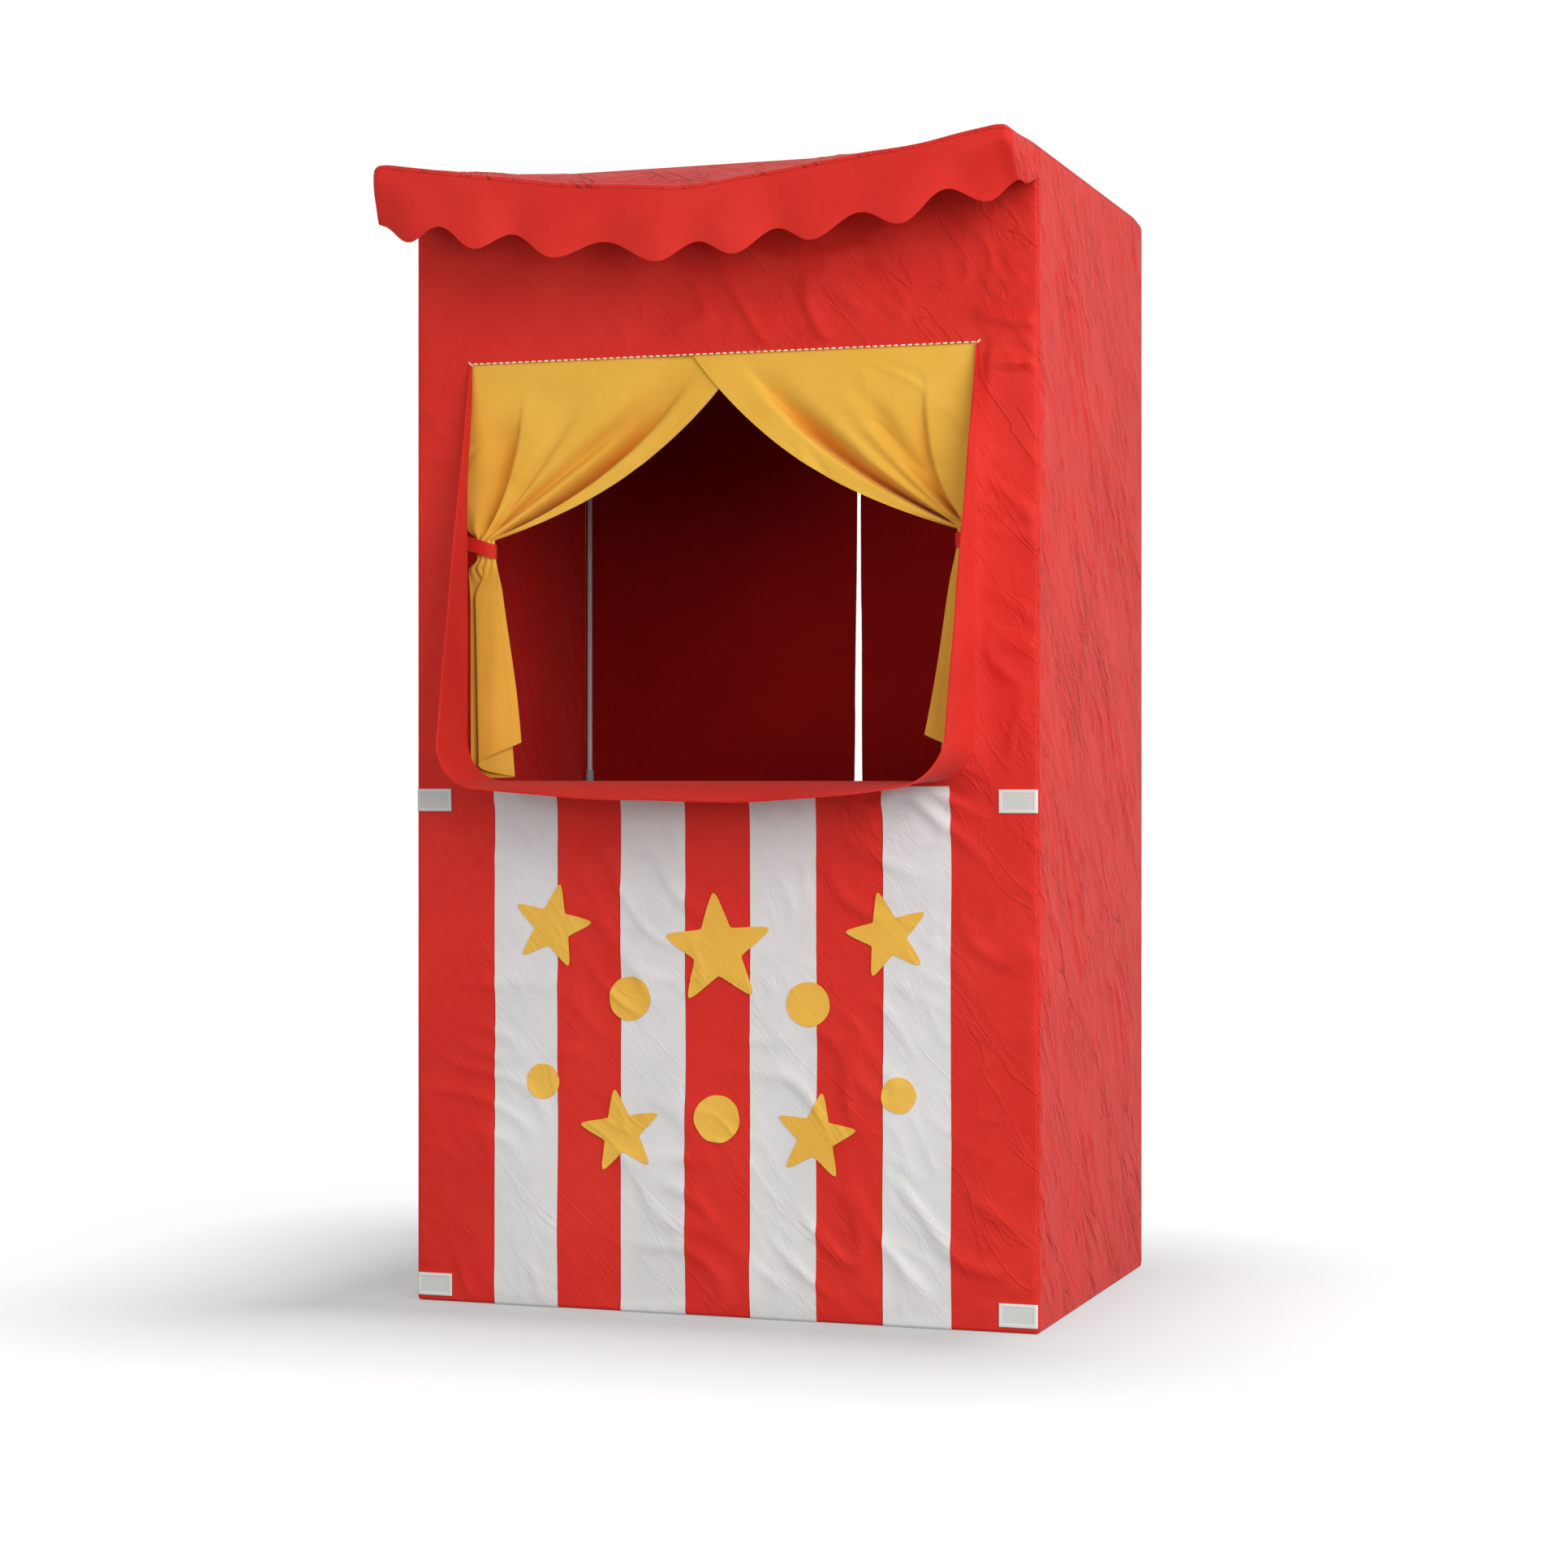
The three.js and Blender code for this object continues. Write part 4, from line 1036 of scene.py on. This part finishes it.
def valance_swell(along, v, x, back_share, on_wing, wave):
    """How far the strip stands out: back between two tips, soft waves across the front, and a
    fine crinkle on the ends. v is 0 at its seam and 1 at its foot."""
    swing = (0.5 - 0.5 * wave) * (1 - np.abs(x / HALF_WIDTH) ** 4) * (1 - on_wing)
    soft = noise(along / 0.16, v * 1.2, 91) * 0.004 + noise(along / 0.05, v * 1.5, 92) * 0.0012
    crinkle = on_wing * 0.0030 * noise(along / 0.014, v * 0.8, 93) * smooth(v, 0.0, 0.3)
    crinkle = crinkle * smooth(1 - back_share, 0.0, 0.1)
    return -VALANCE_WAVE * swing * v + soft * v * (1 - on_wing) + crinkle


def valance_tuck(x, v, back_share):
    """How far the lower part of each corner is drawn back towards the booth."""
    tuck = np.where(x < 0, VALANCE_TUCK[-1], VALANCE_TUCK[1])
    tuck = tuck * (np.clip(v - STRAIGHT_SHARE, 0, 1) / (1 - STRAIGHT_SHARE)) ** 1.3
    return tuck * smooth(np.abs(x), 0.75 * HALF_WIDTH, HALF_WIDTH) * (1 - back_share)


def make_valance():
    """One strip from the booth's face round both corners. Its lower corners are drawn back
    towards the booth, and its ends are sewn to the booth's corners."""
    end = AWNING_REACH - CLOTH / 2 - LIP_RADIUS - SEAM_GAP
    bend = TOP_FLAT + LIP_RADIUS * np.linspace(0, np.pi / 2, 5)
    front = steps(0, TOP_FLAT, VALANCE_STEP)
    wing = bend[-1] + steps(0, end, VALANCE_STEP)[1:]
    along = both_ways(np.concatenate([front, bend[1:], wing]))[None, :]
    v = np.linspace(1, 0, VALANCE_ROWS)[:, None]
    x, y, normal_x, normal_y = valance_plan(along)
    back_share = np.clip((np.abs(along) - bend[-1]) / end, 0, 1)
    on_wing = smooth(back_share, 0.0, 0.1)
    wave = np.cos(2 * np.pi * scallop_phase(x))
    sag = sag_at(x) * np.clip(-y / AWNING_FLAT, 0, 1)
    top = ROOF_SEAM - SEAM_GAP - sag
    low = HEIGHT - sag - valance_drop(x, back_share, on_wing, wave)
    z = top + (low - top) * v
    out = valance_swell(along, v, x, back_share, on_wing, wave)
    tuck = valance_tuck(x, v, back_share)
    points = grid_of(x + normal_x * out, y + normal_y * out + tuck, z)
    points = round_plan(round_shoulder(points))
    crumple = 0.04 + 0.66 * on_wing
    piece = add_sheet("scalloped_valance", points, RED, ["awning_valance"], crumple=crumple)
    return cut_from(piece, True)


# Stage apron.
def apron_path(count):
    """The window's outline without its upper edge: down the left side, round a quarter circle,
    along the sill and up the right side, in equal steps."""
    inset = 0.0002
    edge = WINDOW_HALF - inset
    radius = WINDOW_RADIUS - inset
    side = WINDOW_HEIGHT - inset - WINDOW_RADIUS
    arc = radius * np.pi / 2
    sill = 2 * (edge - radius)
    marks = np.cumsum([0, side, arc, sill, arc, side])
    s = np.linspace(0, marks[-1], count)
    turn_left = np.clip((s - marks[1]) / radius, 0, np.pi / 2)
    turn_right = np.clip((s - marks[3]) / radius, 0, np.pi / 2)
    down = np.minimum(s, marks[1])
    across = np.clip(s - marks[2], 0, sill)
    up = np.clip(s - marks[4], 0, None)
    x = -edge + radius * (1 - np.cos(turn_left)) + across + radius * np.sin(turn_right)
    top = WINDOW_TOP - inset
    z = top - down - radius * np.sin(turn_left) + radius * (1 - np.cos(turn_right)) + up
    return x, z


def make_apron():
    """A lip that stands on the window's outline and flares forward: most at the sill, where its
    rim sags, and hardly at all at the window's top. v is 0 at its seam and 1 at its rim."""
    x, z = apron_path(APRON_COLUMNS)
    v = np.linspace(0, 1, APRON_ROWS)[:, None]
    low_share = (WINDOW_TOP - z) / WINDOW_HEIGHT
    reach = APRON_TOP_REACH + (APRON_REACH - APRON_TOP_REACH) * low_share
    middle = 1 - (x / WINDOW_HALF) ** 2
    level = np.clip((low_share - 0.8) / 0.2, 0, 1)
    sag = APRON_SAG * middle * v**2 * level**2 * (3 - 2 * level)
    lean = APRON_LEAN * v * low_share * x / WINDOW_HALF
    ripple = APRON_RIPPLE * v * noise(x / 0.12 + z / 0.12, v * 1.3, 101)
    foot = APRON_FOOT - apron_pull(z)
    y = foot - (foot + reach) * v
    points = grid_of(x - lean + ripple * np.sign(x) * 0.5, y, z - sag + ripple * level)
    hem = APRON_HEM * smooth(v, 0.93, 0.95) + np.zeros_like(x)
    piece = add_sheet(
        "stage_apron_cloth", points, APRON_RED, ["stage_apron"], half=CLOTH / 2 + hem, crumple=0.3
    )
    return cut_from(piece, True)


# Stripes, patches, shapes and stitching on the front.
def make_stripes():
    """Four white strips that lie on the front and follow its creases, with uneven edges."""
    pieces = []
    for index, centre in enumerate(STRIPE_CENTRES):
        u = steps(-STRIPE_WIDTH / 2, STRIPE_WIDTH / 2, GRID_STEP)[None, :]
        heights = steps(HEM_RADIUS + FLOOR_GAP, STRIPE_TOP, GRID_STEP)
        bend = HEM_ARC * np.linspace(0.35, 1, 4)[:-1]
        rise = np.concatenate([bend, rise_of(heights)])[:, None]
        edge = 0.0011 * noise(rise / 0.13 + 7 * index, np.sign(u) * 3 + 0.5, 111)
        along = centre + u + edge * np.abs(u) / (STRIPE_WIDTH / 2)
        points = front_points(along, rise, LAID_GAP + STRIPE_CLOTH / 2)
        name = f"white_stripe_{index + 1}"
        piece = add_sheet(f"{name}_cloth", points, STRIPE, [name], crumple=0.13)
        pieces.append(cut_from(piece))
    return pieces


def tape_face(along, up):
    """Thickness and painted shade of a patch: a plain border, thinner along its rim, round a
    recessed field of hooks, which are crossed sine waves. The painted shade darkens the recessed
    field, most where it is lowest between the hooks."""
    to_side = np.minimum(along - PATCH_LEFT, PATCH_RIGHT - along)[None, :]
    to_edge = np.minimum(to_side, PATCH_HALF_HEIGHT - np.abs(up))
    hooks = np.sin(along / HOOK_PITCH * 2 * np.pi) * np.sin(up / HOOK_PITCH * 2 * np.pi)
    field = smooth(to_edge, PATCH_BORDER, PATCH_BORDER + 0.0008)
    thick = PATCH_THICKNESS - 0.0007 * (1 - smooth(to_edge, 0, 0.0009))
    thick = thick - field * (PATCH_RECESS - 0.00025 * hooks)
    # Painted shade: darker in the recess and lowest between the hooks.
    return thick, field * (0.16 - 0.22 * hooks)


def make_patches():
    """Woven tape with a plain border and a recessed field of fine hooks."""
    pieces = []
    for side, side_name in ((-1, "left"), (1, "right")):
        for level, centre in PATCH_CENTRES.items():
            along = steps(PATCH_LEFT, PATCH_RIGHT, PATCH_STEP)
            up = steps(-PATCH_HALF_HEIGHT, PATCH_HALF_HEIGHT, PATCH_STEP)[:, None]
            points = front_points(along[None, :], rise_of(centre + up), LAID_GAP)
            thick, shade = tape_face(along, up)
            if side < 0:
                points, thick, shade = mirrored(points), thick[:, ::-1], shade[:, ::-1]
            node = f"hook_patch_{level}_{side_name}"
            half = (thick, 0.0)
            piece = add_sheet(f"{node}_tape", points, TAPE, [node], half=half, painted_shade=shade)
            pieces.append(cut_from(piece))
    return pieces


def star_outline(angle, points, sharpness):
    """Radius of a star with rounded tips, 1 at a tip."""
    bend = np.arcsin(sharpness * np.cos(points * angle))
    at_tip = np.cos((2 * math.asin(sharpness) + 3 * math.pi) / (2 * points))
    return at_tip / np.cos((2 * bend + 3 * math.pi) / (2 * points))


def make_shape(name, centre, size, tips, tilt, seed):
    """A cut-out sewn to the front. A square grid is drawn in to a disc, and each point of the
    disc is moved along its radius by the outline: a star, or a disc where tips is 0."""
    p, q = np.meshgrid(*2 * [np.linspace(-1, 1, SHAPE_STEPS)])
    disc_x = p * np.sqrt(1 - q**2 / 2)
    disc_z = q * np.sqrt(1 - p**2 / 2)
    angle = np.arctan2(disc_z, disc_x)
    turned = angle - math.radians(90 + tilt)
    outline = star_outline(turned, tips, STAR_SHARPNESS) if tips else np.ones_like(angle)
    outline = outline * (1 + 0.035 * noise(np.cos(angle) * 1.6, np.sin(angle) * 1.6, seed))
    x = centre[0] + size / 2 * outline * disc_x
    z = centre[1] + size / 2 * outline * disc_z
    points = front_points(x, rise_of(z), LAID_GAP + STRIPE_CLOTH + SHAPE_LIFT)
    piece = add_sheet(name, points, YELLOW, crumple=0.14, lengths=points[..., [0, 2]])
    return cut_from(piece, True)


def make_shapes():
    """Stars and dots in rows, each with a random seed of its own."""
    return [make_shape(*shape, 120 + index) for index, shape in enumerate(SHAPES)]


def thread_tubes(starts, ends):
    """Short stitches: each is a tube that rises out of the cloth, lies on it and goes back in."""
    rings, sides = 8, 8
    t = np.linspace(0, 1, rings)
    turn = np.linspace(0, 2 * np.pi, sides, endpoint=False)
    along = ends - starts
    length = np.linalg.norm(along, axis=1, keepdims=True)
    ahead = along / length
    out = np.array([0.0, -1.0, 0.0])
    beside = np.cross(ahead, out)
    arch = np.sin(np.pi * t) ** 0.5
    centre = starts[:, None] + along[:, None] * t[:, None] + out * (THREAD_ARCH * arch)[:, None]
    width = THREAD_RADIUS * (0.55 + 0.45 * arch)[:, None]
    ring = beside[:, None, None] * np.cos(turn)[:, None] + out * np.sin(turn)[:, None]
    points = centre[:, :, None] + ring * width[None, :, :, None]
    faces = tube_quads(rings, sides)[:, ::-1]
    shift = np.arange(len(starts))[:, None, None] * rings * sides
    return points.reshape(-1, 3), (faces + shift).reshape(-1, 4)


def make_stitching():
    """A row of cream stitches along the window's upper edge, with a bar at each end."""
    height = WINDOW_TOP + STITCH_RISE
    half, bar = STITCH_LENGTH / 2, BAR_LENGTH / 2
    middles = np.arange(*STITCH_ENDS, STITCH_PITCH)
    wobble = 0.0003 * noise(middles / 0.02, 0.5, 131)
    starts = grid_of(middles - half, 0, height + wobble)
    ends = grid_of(middles + half, 0, height - wobble)
    corners = np.array([[-BAR_PLACE, 0, height], [BAR_PLACE, 0, height]])
    slant = np.array([[-bar, 0, bar], [bar, 0, bar]])
    starts = np.concatenate([starts, corners - slant])
    ends = np.concatenate([ends, corners + slant])
    points, faces = thread_tubes(starts, ends)
    mesh = make_mesh("window_stitching", points, faces, points[:, [0, 2]])
    return add_piece("window_stitching", mesh, THREAD["material"])


# Back flaps.
def flap_points(side, seed):
    """A hanging sheet from the corded seam at the corner to the slit, with shallow creases."""
    z = steps(FLAP_FOOT, FLAP_TOP, FLAP_STEP)[:, None]
    half_slit = np.clip(SLIT_HALF - SLIT_TAPER * (z - SLIT_LEVEL), 0.001, None)
    middle = SLIT_MIDDLE + SLIT_SLANT * (z - SLIT_LEVEL)
    edge = middle + side * half_slit + 0.0012 * noise(z / 0.2, side * 2.5, seed)
    u = np.linspace(0, 1, FLAP_COLUMNS)[None, :]
    x = side * FLAP_HINGE + (edge - side * FLAP_HINGE) * u
    free = smooth(u, 0.0, 0.12)
    broad = 0.0030 * (1 + noise(x / 0.16, z / 0.4, seed + 1))
    folds = summed_creases(-x, z, FLAP_CREASES, seed)
    y = FLAP_FACE + free * (broad + folds)
    return round_shoulder(grid_of(x, y, z)), u, z


def make_flap(side, name, cord):
    """A back flap with a thicker hem along its free edge and its foot."""
    points, u, z = flap_points(side, 160 + 10 * side)
    inner = FLAP_HEM - 0.001
    hem = 1 - smooth(FLAP_HINGE * (1 - u), inner, FLAP_HEM)
    hem = np.maximum(hem, 1 - smooth(z - FLAP_FOOT, inner, FLAP_HEM))
    half = CLOTH / 2 + 0.0005 * hem
    if side < 0:
        points, half = points[:, ::-1], half[:, ::-1]
    body = f"back_flap_{name}"
    piece = add_sheet(f"{name}_back_flap", points, BACK_RED, [body], body, half, crumple=0.6)
    return cut_from(piece)


def make_cord_seam(side, name):
    """The corded seam that a back flap hangs on: cloth rolled round a cord, top to bottom."""
    z = steps(FLAP_FOOT, FLAP_TOP, 0.006)[:, None]
    turn = np.linspace(0, 2 * np.pi, 17)[:-1][None, :]
    radius = FLAP_CORD * (1 + 0.05 * noise(z / 0.03, 0.5, 190 + side))
    x = side * FLAP_HINGE + radius * np.cos(turn)
    y = FLAP_FACE + radius * np.sin(turn)
    ring = round_shoulder(grid_of(x, y, z))
    faces = tube_quads(*ring.shape[:2])
    lengths = grid_of(turn * FLAP_CORD, z).reshape(-1, 2)
    cord = f"{name}_flap_cord"
    mesh = make_mesh(cord, ring.reshape(-1, 3), faces, lengths)
    return add_piece(cord, mesh, RED["material"], body=f"back_flap_{name}")


# Curtains and ties.
def bezier(t, start, near_start, near_end, end):
    """A cubic curve between start and end, drawn towards its two handles."""
    s = 1 - t
    return s**3 * start + 3 * s * s * t * near_start + 3 * s * t * t * near_end + t**3 * end


def laid_back(u, overlap):
    """A share of a curtain's width that runs forward, back and forward again from 0 to 1, so
    that the cloth lies in three layers."""
    return u + overlap * np.sin(2 * np.pi * u) / (2 * np.pi)


def gather_depth(u):
    """Where the cloth lies in the bundle inside the tie: on an arc, with uneven pleats."""
    pleats = PLEAT_DEPTH * np.cos(2 * np.pi * (4 * u + 0.25 * np.sin(2 * np.pi * u)))
    return pleats - BUNDLE_BOW * np.sin(np.pi * u)


def fold_depth(u, t, folds):
    """How deep the cloth goes at a share u of its width and t of its height above the tie. Each
    fold is a valley with one side steeper than the other, and it fades at the tie."""
    depth = np.zeros(np.broadcast(u, t).shape)
    for at_top, at_tie, outer_width, inner_width, deep, begin in folds:
        off = u - (at_top + (at_tie - at_top) * t)
        width = np.where(off < 0, outer_width, inner_width)
        grown = smooth(t, begin, begin + 0.45) * (1 - smooth(t, 0.86, 1.0))
        depth = depth + deep * grown * np.exp(-((off / width) ** 2))
    return depth


def curtain_slack(u, t, x, z, side):
    """Loose hollows and slanting creases of the upper part, fading at its top and at the tie."""
    slack = 0.0055 * noise(u * 3.5, t * 3.0, 201 + side)
    slack = slack + 0.0050 * creases(x, z, 40, 0.070, 0.13, 221 + side)
    return np.abs(slack * smooth(t, 0.02, 0.25) * (1 - t))


def above_tie(u, v, cross_back, side):
    """Each column runs down a cubic curve from the window's upper edge to the tie. v is 0 at the
    top and 1 at the middle of the tie."""
    t = np.clip(v / (1 - TIE_HOLD), 0, 1)
    held = np.clip((v - 1 + TIE_HOLD) / TIE_HOLD, 0, 1)
    lap = WINDOW_HALF + CURTAIN_LAP
    top_x = lap - (CURTAIN_OVERLAP + lap) * u
    near_x = GATHER_OUTER - (GATHER_WIDTH + LOWER_HANDLE[1]) * u + 0.022 * (1 - u) ** 4
    tie_x = GATHER_OUTER + 0.001 - GATHER_WIDTH * u
    x = bezier(t, top_x, top_x + UPPER_HANDLE[1] * u, near_x, tie_x)
    x = x + 0.009 * (1 - u) ** 8 * smooth(t, 0.4, 0.8) * (1 - smooth(t, 0.93, 1.0))
    z = bezier(
        t,
        CURTAIN_TOP,
        CURTAIN_TOP - (HANDLE + UPPER_HANDLE[0] * u),
        TIE_HEIGHT + (HANDLE + LOWER_HANDLE[0] * u),
        TIE_HEIGHT + TIE_REACH,
    )
    z = z - TIE_REACH * held
    gathered = smooth(t, 0.1, 1)
    middle = CURTAIN_FACE + (GATHER_Y - CURTAIN_FACE) * gathered
    bundle = gather_depth(u) * smooth(t, 0.70, 1)
    behind = cross_back * smooth(u, 0.6, 0.85) * (1 - t)
    y = middle + bundle + curtain_slack(u, t, x, z, side) + behind
    depth = fold_depth(u, t, CURTAIN_FOLDS[side])
    # The last value is the painted shade of the folds, from their depth.
    return x, y + depth, z, np.clip(depth / DEEP_FOLD, 0, 1)


def below_tie(u, s, side):
    """The bundle spreads below the tie and soon lies in three layers. s is 0 at the tie and 1
    at the hem."""
    loose = np.clip((s - 0.04) / 0.96, 0, 1)
    layered = smooth(loose, 0, 0.22)
    outer = GATHER_OUTER + 0.001 + (TAIL_OUTER - GATHER_OUTER - 0.001) * smooth(loose, 0, 0.06)
    inner = bezier(loose, *TAIL_EDGE[side])
    x = outer - (outer - inner) * laid_back(u, OVERLAP * layered)
    hem = WINDOW_SILL + 0.005 + TAIL_RISE[side] * u**3
    z = TIE_HEIGHT + (hem - TIE_HEIGHT) * s
    layers = GATHER_DEPTH * (0.5 - u) * (1 + 0.35 * loose) * layered
    bundle = gather_depth(u) * (1 - layered) ** 2
    soft = 0.0030 * noise(x / 0.034, z / 0.20, 205 + side) * smooth(loose, 0, 0.3)
    turned = TAIL_TURN[side] * (outer - x) * (1 - 6 * (outer - x)) * layered
    return x, GATHER_Y + layers + bundle + soft + turned, z, np.zeros_like(x)


def curtain_points(cross_back, side):
    """The right curtain, from the window's side to its free edge and from its hem to its top:
    its points, how deep each lies in a fold, which sets its painted shade, and the two shares it
    was made from."""
    u = np.linspace(0, 1, CURTAIN_COLUMNS)[None, :]
    rows = np.linspace(2, 0, CURTAIN_ROWS)[:, None]
    above = above_tie(u, np.clip(rows, 0, 1), cross_back, side)
    below = below_tie(u, np.clip(rows - 1, 0, 1), side)
    both = [np.where(rows <= 1, high, low) for high, low in zip(above, below)]
    return np.stack(both[:3], axis=-1), both[3], u, rows


def make_curtain(side, name):
    """A tied curtain, thicker at the hems along its free edge and its foot. The left one lies
    behind the right one where they cross."""
    points, painted_shade, u, rows = curtain_points(CURTAIN_CROSS if side < 0 else 0.0, side)
    begin, end = CURTAIN_HEM_SHARE, CURTAIN_HEM_SHARE + 0.004
    hem = np.maximum(smooth(u, begin, end), smooth(rows, 1 + begin, 1 + end))
    half = CURTAIN_CLOTH / 2 + CURTAIN_HEM * hem
    if side < 0:
        points, half, painted_shade = mirrored(points), half[:, ::-1], painted_shade[:, ::-1]
    node = f"curtain_{name}"
    piece = add_sheet(
        f"{name}_curtain", points, YELLOW, [node], half=half, crumple=0.15, painted_shade=painted_shade
    )
    return cut_from(piece, True)


def band_path(start, end):
    """Part of the oval round the gathered curtain, by its angle."""
    angle = np.linspace(start, end, TIE_COLUMNS)
    x = GATHER_MIDDLE + (BAND_HALF_WIDTH - TIE_CLOTH / 2) * np.cos(angle)
    y = GATHER_Y + (BAND_HALF_DEPTH - TIE_CLOTH / 2) * np.sin(angle)
    return x, y


def ribbon(x, y, seed):
    """A band of cloth that stands on a path, with edges that waver and a slightly hollow face."""
    v = np.linspace(-1, 1, TIE_ROWS)[:, None]
    waver = 0.0006 * noise(x / 0.012, np.sign(v) * 2.5, seed) * np.abs(v)
    z = TIE_HEIGHT + v * TIE_BAND / 2 * 0.98 + waver + TIE_TILT * (x - GATHER_MIDDLE)
    return grid_of(x[None, :], y[None, :], z)


def make_tie(side, name):
    """A tie: a band in front of the gathered curtain, its tab behind the window's edge, and
    the catch behind the curtain, which opens."""
    front = ribbon(*band_path(np.pi + 0.05, 2 * np.pi - TIE_OPENING), 211)
    rear = ribbon(*band_path(0.02, np.pi - 0.02), 212)
    tab_x = steps(GATHER_MIDDLE - 0.002, WINDOW_HALF + TAB_PAST, 0.002)
    tab = ribbon(tab_x, np.full_like(tab_x, TAB_FACE), 213)
    if side < 0:
        front, rear, tab = mirrored(front), mirrored(rear), mirrored(tab)
    half = TIE_CLOTH / 2 - 0.0001
    band, catch = f"tie_band_{name}", f"tie_catch_{name}"
    pieces = [
        add_sheet(f"{name}_tie_band", front, RED, [band], half=half),
        add_sheet(f"{name}_tie_tab", tab, RED, [band], half=half),
        add_sheet(f"{name}_tie_catch", rear, RED, [catch], catch, half=half),
    ]
    lengths = (TIE_LENGTH, float(np.ptp(tab_x)), TIE_LENGTH)
    held_by = (f"{name}_curtain", "front_panel", f"{name}_curtain")
    for piece, length, holder in zip(pieces, lengths, held_by):
        cut_from(piece)
    return pieces


def dress_frame():
    """Tubes and connectors keep their shape and get their finish."""
    for name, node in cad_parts.items():
        is_hub = name.startswith(("connector", "awning_arm_end"))
        is_tube = name.startswith(("post", "side_rail", "cross_rail", "awning_arm"))
        if is_hub or is_tube:
            node.data.materials.clear()
            node.data.materials.append(PLASTIC if is_hub else STEEL)
            node.data.polygons.foreach_set("use_smooth", np.zeros(len(node.data.polygons), bool))


# Stage, light and camera.
def seen_directly(tree):
    """One for a ray from the camera or from gloss or glass, and zero for light."""
    path = add_node(tree, "ShaderNodeLightPath").outputs
    seen = add_math(tree, "MAXIMUM", path["Is Camera Ray"], path["Is Glossy Ray"])
    return add_math(tree, "MAXIMUM", seen, path["Is Transmission Ray"])


def mix_shaders(tree, share, first, second):
    """One shader where share is zero, and another one where it is one."""
    return add_node(tree, "ShaderNodeMixShader", {"Fac": share, 1: first, 2: second}).outputs[0]


def beside_booth(tree):
    """How far outside the booth's footprint, moved a little to its shaded side, a point of the
    floor lies: its distance to that rectangle, in parts of the painted shadow's reach."""
    moved = add_vector_math(tree, "ADD", on_object(tree), (FLOOR_SHIFT, 0.0, 0.0))[0]
    size = add_vector_math(tree, "ABSOLUTE", moved)[0]
    past = add_vector_math(tree, "SUBTRACT", size, (HALF_WIDTH, DEPTH / 2, 0.0))[0]
    outside = add_vector_math(tree, "MAXIMUM", past, (0.0, 0.0, 0.0))[0]
    distance = add_vector_math(tree, "LENGTH", outside)["Value"]
    return add_math(tree, "MULTIPLY", distance, 1 / SHADE_REACH)


def floor_material():
    """Matt grey. Seen directly it also glows, more and more away from the booth, so that it
    looks white there and keeps the booth's shadow. The weaker glow near the booth, moved to its
    shaded side, is a painted shadow."""
    material, tree, shader = new_material("pale_floor")
    grey = (FLOOR_GREY, FLOOR_GREY, FLOOR_GREY, 1.0)
    feed(tree, shader, {"Base Color": grey, "Roughness": 0.9, "Specular IOR Level": 0.1})
    levels = [(place, (value, value, value, 1.0)) for place, value in FLOOR_SHADES]
    # Painted shadow: the glow is lower near the booth.
    shade = colour_ramp(tree, beside_booth(tree), levels)
    glow = add_node(tree, "ShaderNodeEmission", {"Color": shade, "Strength": 1.0}).outputs[0]
    lit = add_node(tree, "ShaderNodeAddShader", {0: shader.outputs[0], 1: glow}).outputs[0]
    mixed = mix_shaders(tree, seen_directly(tree), shader.outputs[0], lit)
    tree.links.new(mixed, tree.nodes["Material Output"].inputs["Surface"])
    return material


def make_floor():
    """A flat square, on which the booth stands."""
    half = FLOOR_HALF
    mesh = bpy.data.meshes.new("studio_floor")
    corners = [(-half, -half, 0), (half, -half, 0), (half, half, 0), (-half, half, 0)]
    mesh.from_pydata(corners, [], [(0, 1, 2, 3)])
    mesh.materials.append(floor_material())
    floor = bpy.data.objects.new("studio_floor", mesh)
    bpy.context.scene.collection.objects.link(floor)


def make_world():
    """Even white light from all round, which looks pure white where it is seen directly."""
    world = bpy.data.worlds.new("studio")
    bpy.context.scene.world = world
    world.use_nodes = True
    tree = world.node_tree
    light = tree.nodes["Background"]
    feed(tree, light, {"Color": WHITE, "Strength": WORLD_LIGHT})
    seen = add_node(tree, "ShaderNodeBackground", {"Color": WHITE, "Strength": 1.0})
    mixed = mix_shaders(tree, seen_directly(tree), light.outputs[0], seen.outputs[0])
    tree.links.new(mixed, tree.nodes["World Output"].inputs["Surface"])


def add_lamp(name, place, aim, size, power):
    """A square soft box at place that faces aim."""
    data = bpy.data.lights.new(name, "AREA")
    data.size = size
    data.energy = power
    lamp = bpy.data.objects.new(name, data)
    bpy.context.scene.collection.objects.link(lamp)
    away = np.array(place) - np.array(aim)
    lamp.location = place
    lamp.rotation_euler = (
        math.atan2(math.hypot(away[0], away[1]), away[2]),
        0.0,
        math.atan2(away[0], -away[1]),
    )


def make_camera():
    """Level, at the photograph's viewing angle, turned to its left and shifted a little."""
    data = bpy.data.cameras.new("studio_camera")
    data.lens = LENS
    data.sensor_width = SENSOR
    data.sensor_fit = "HORIZONTAL"
    data.shift_y = CAMERA_SHIFT
    camera = bpy.data.objects.new("studio_camera", data)
    bpy.context.scene.collection.objects.link(camera)
    camera.location = CAMERA_PLACE
    camera.rotation_euler = (math.pi / 2, 0.0, CAMERA_TURN)
    bpy.context.scene.camera = camera


make_camera()
make_world()
make_floor()
for lamp in LAMPS:
    add_lamp(*lamp)

make_front(make_stitching())
make_roof()
make_awning()
make_valance()
make_apron()
make_stripes()
make_patches()
make_shapes()
for side, name in ((-1, "left"), (1, "right")):
    make_side(side, name)
    make_flap(side, name, make_cord_seam(side, name))
    make_curtain(side, name)
    make_tie(side, name)
dress_frame()

bpy.context.scene.view_settings.view_transform = "Standard"
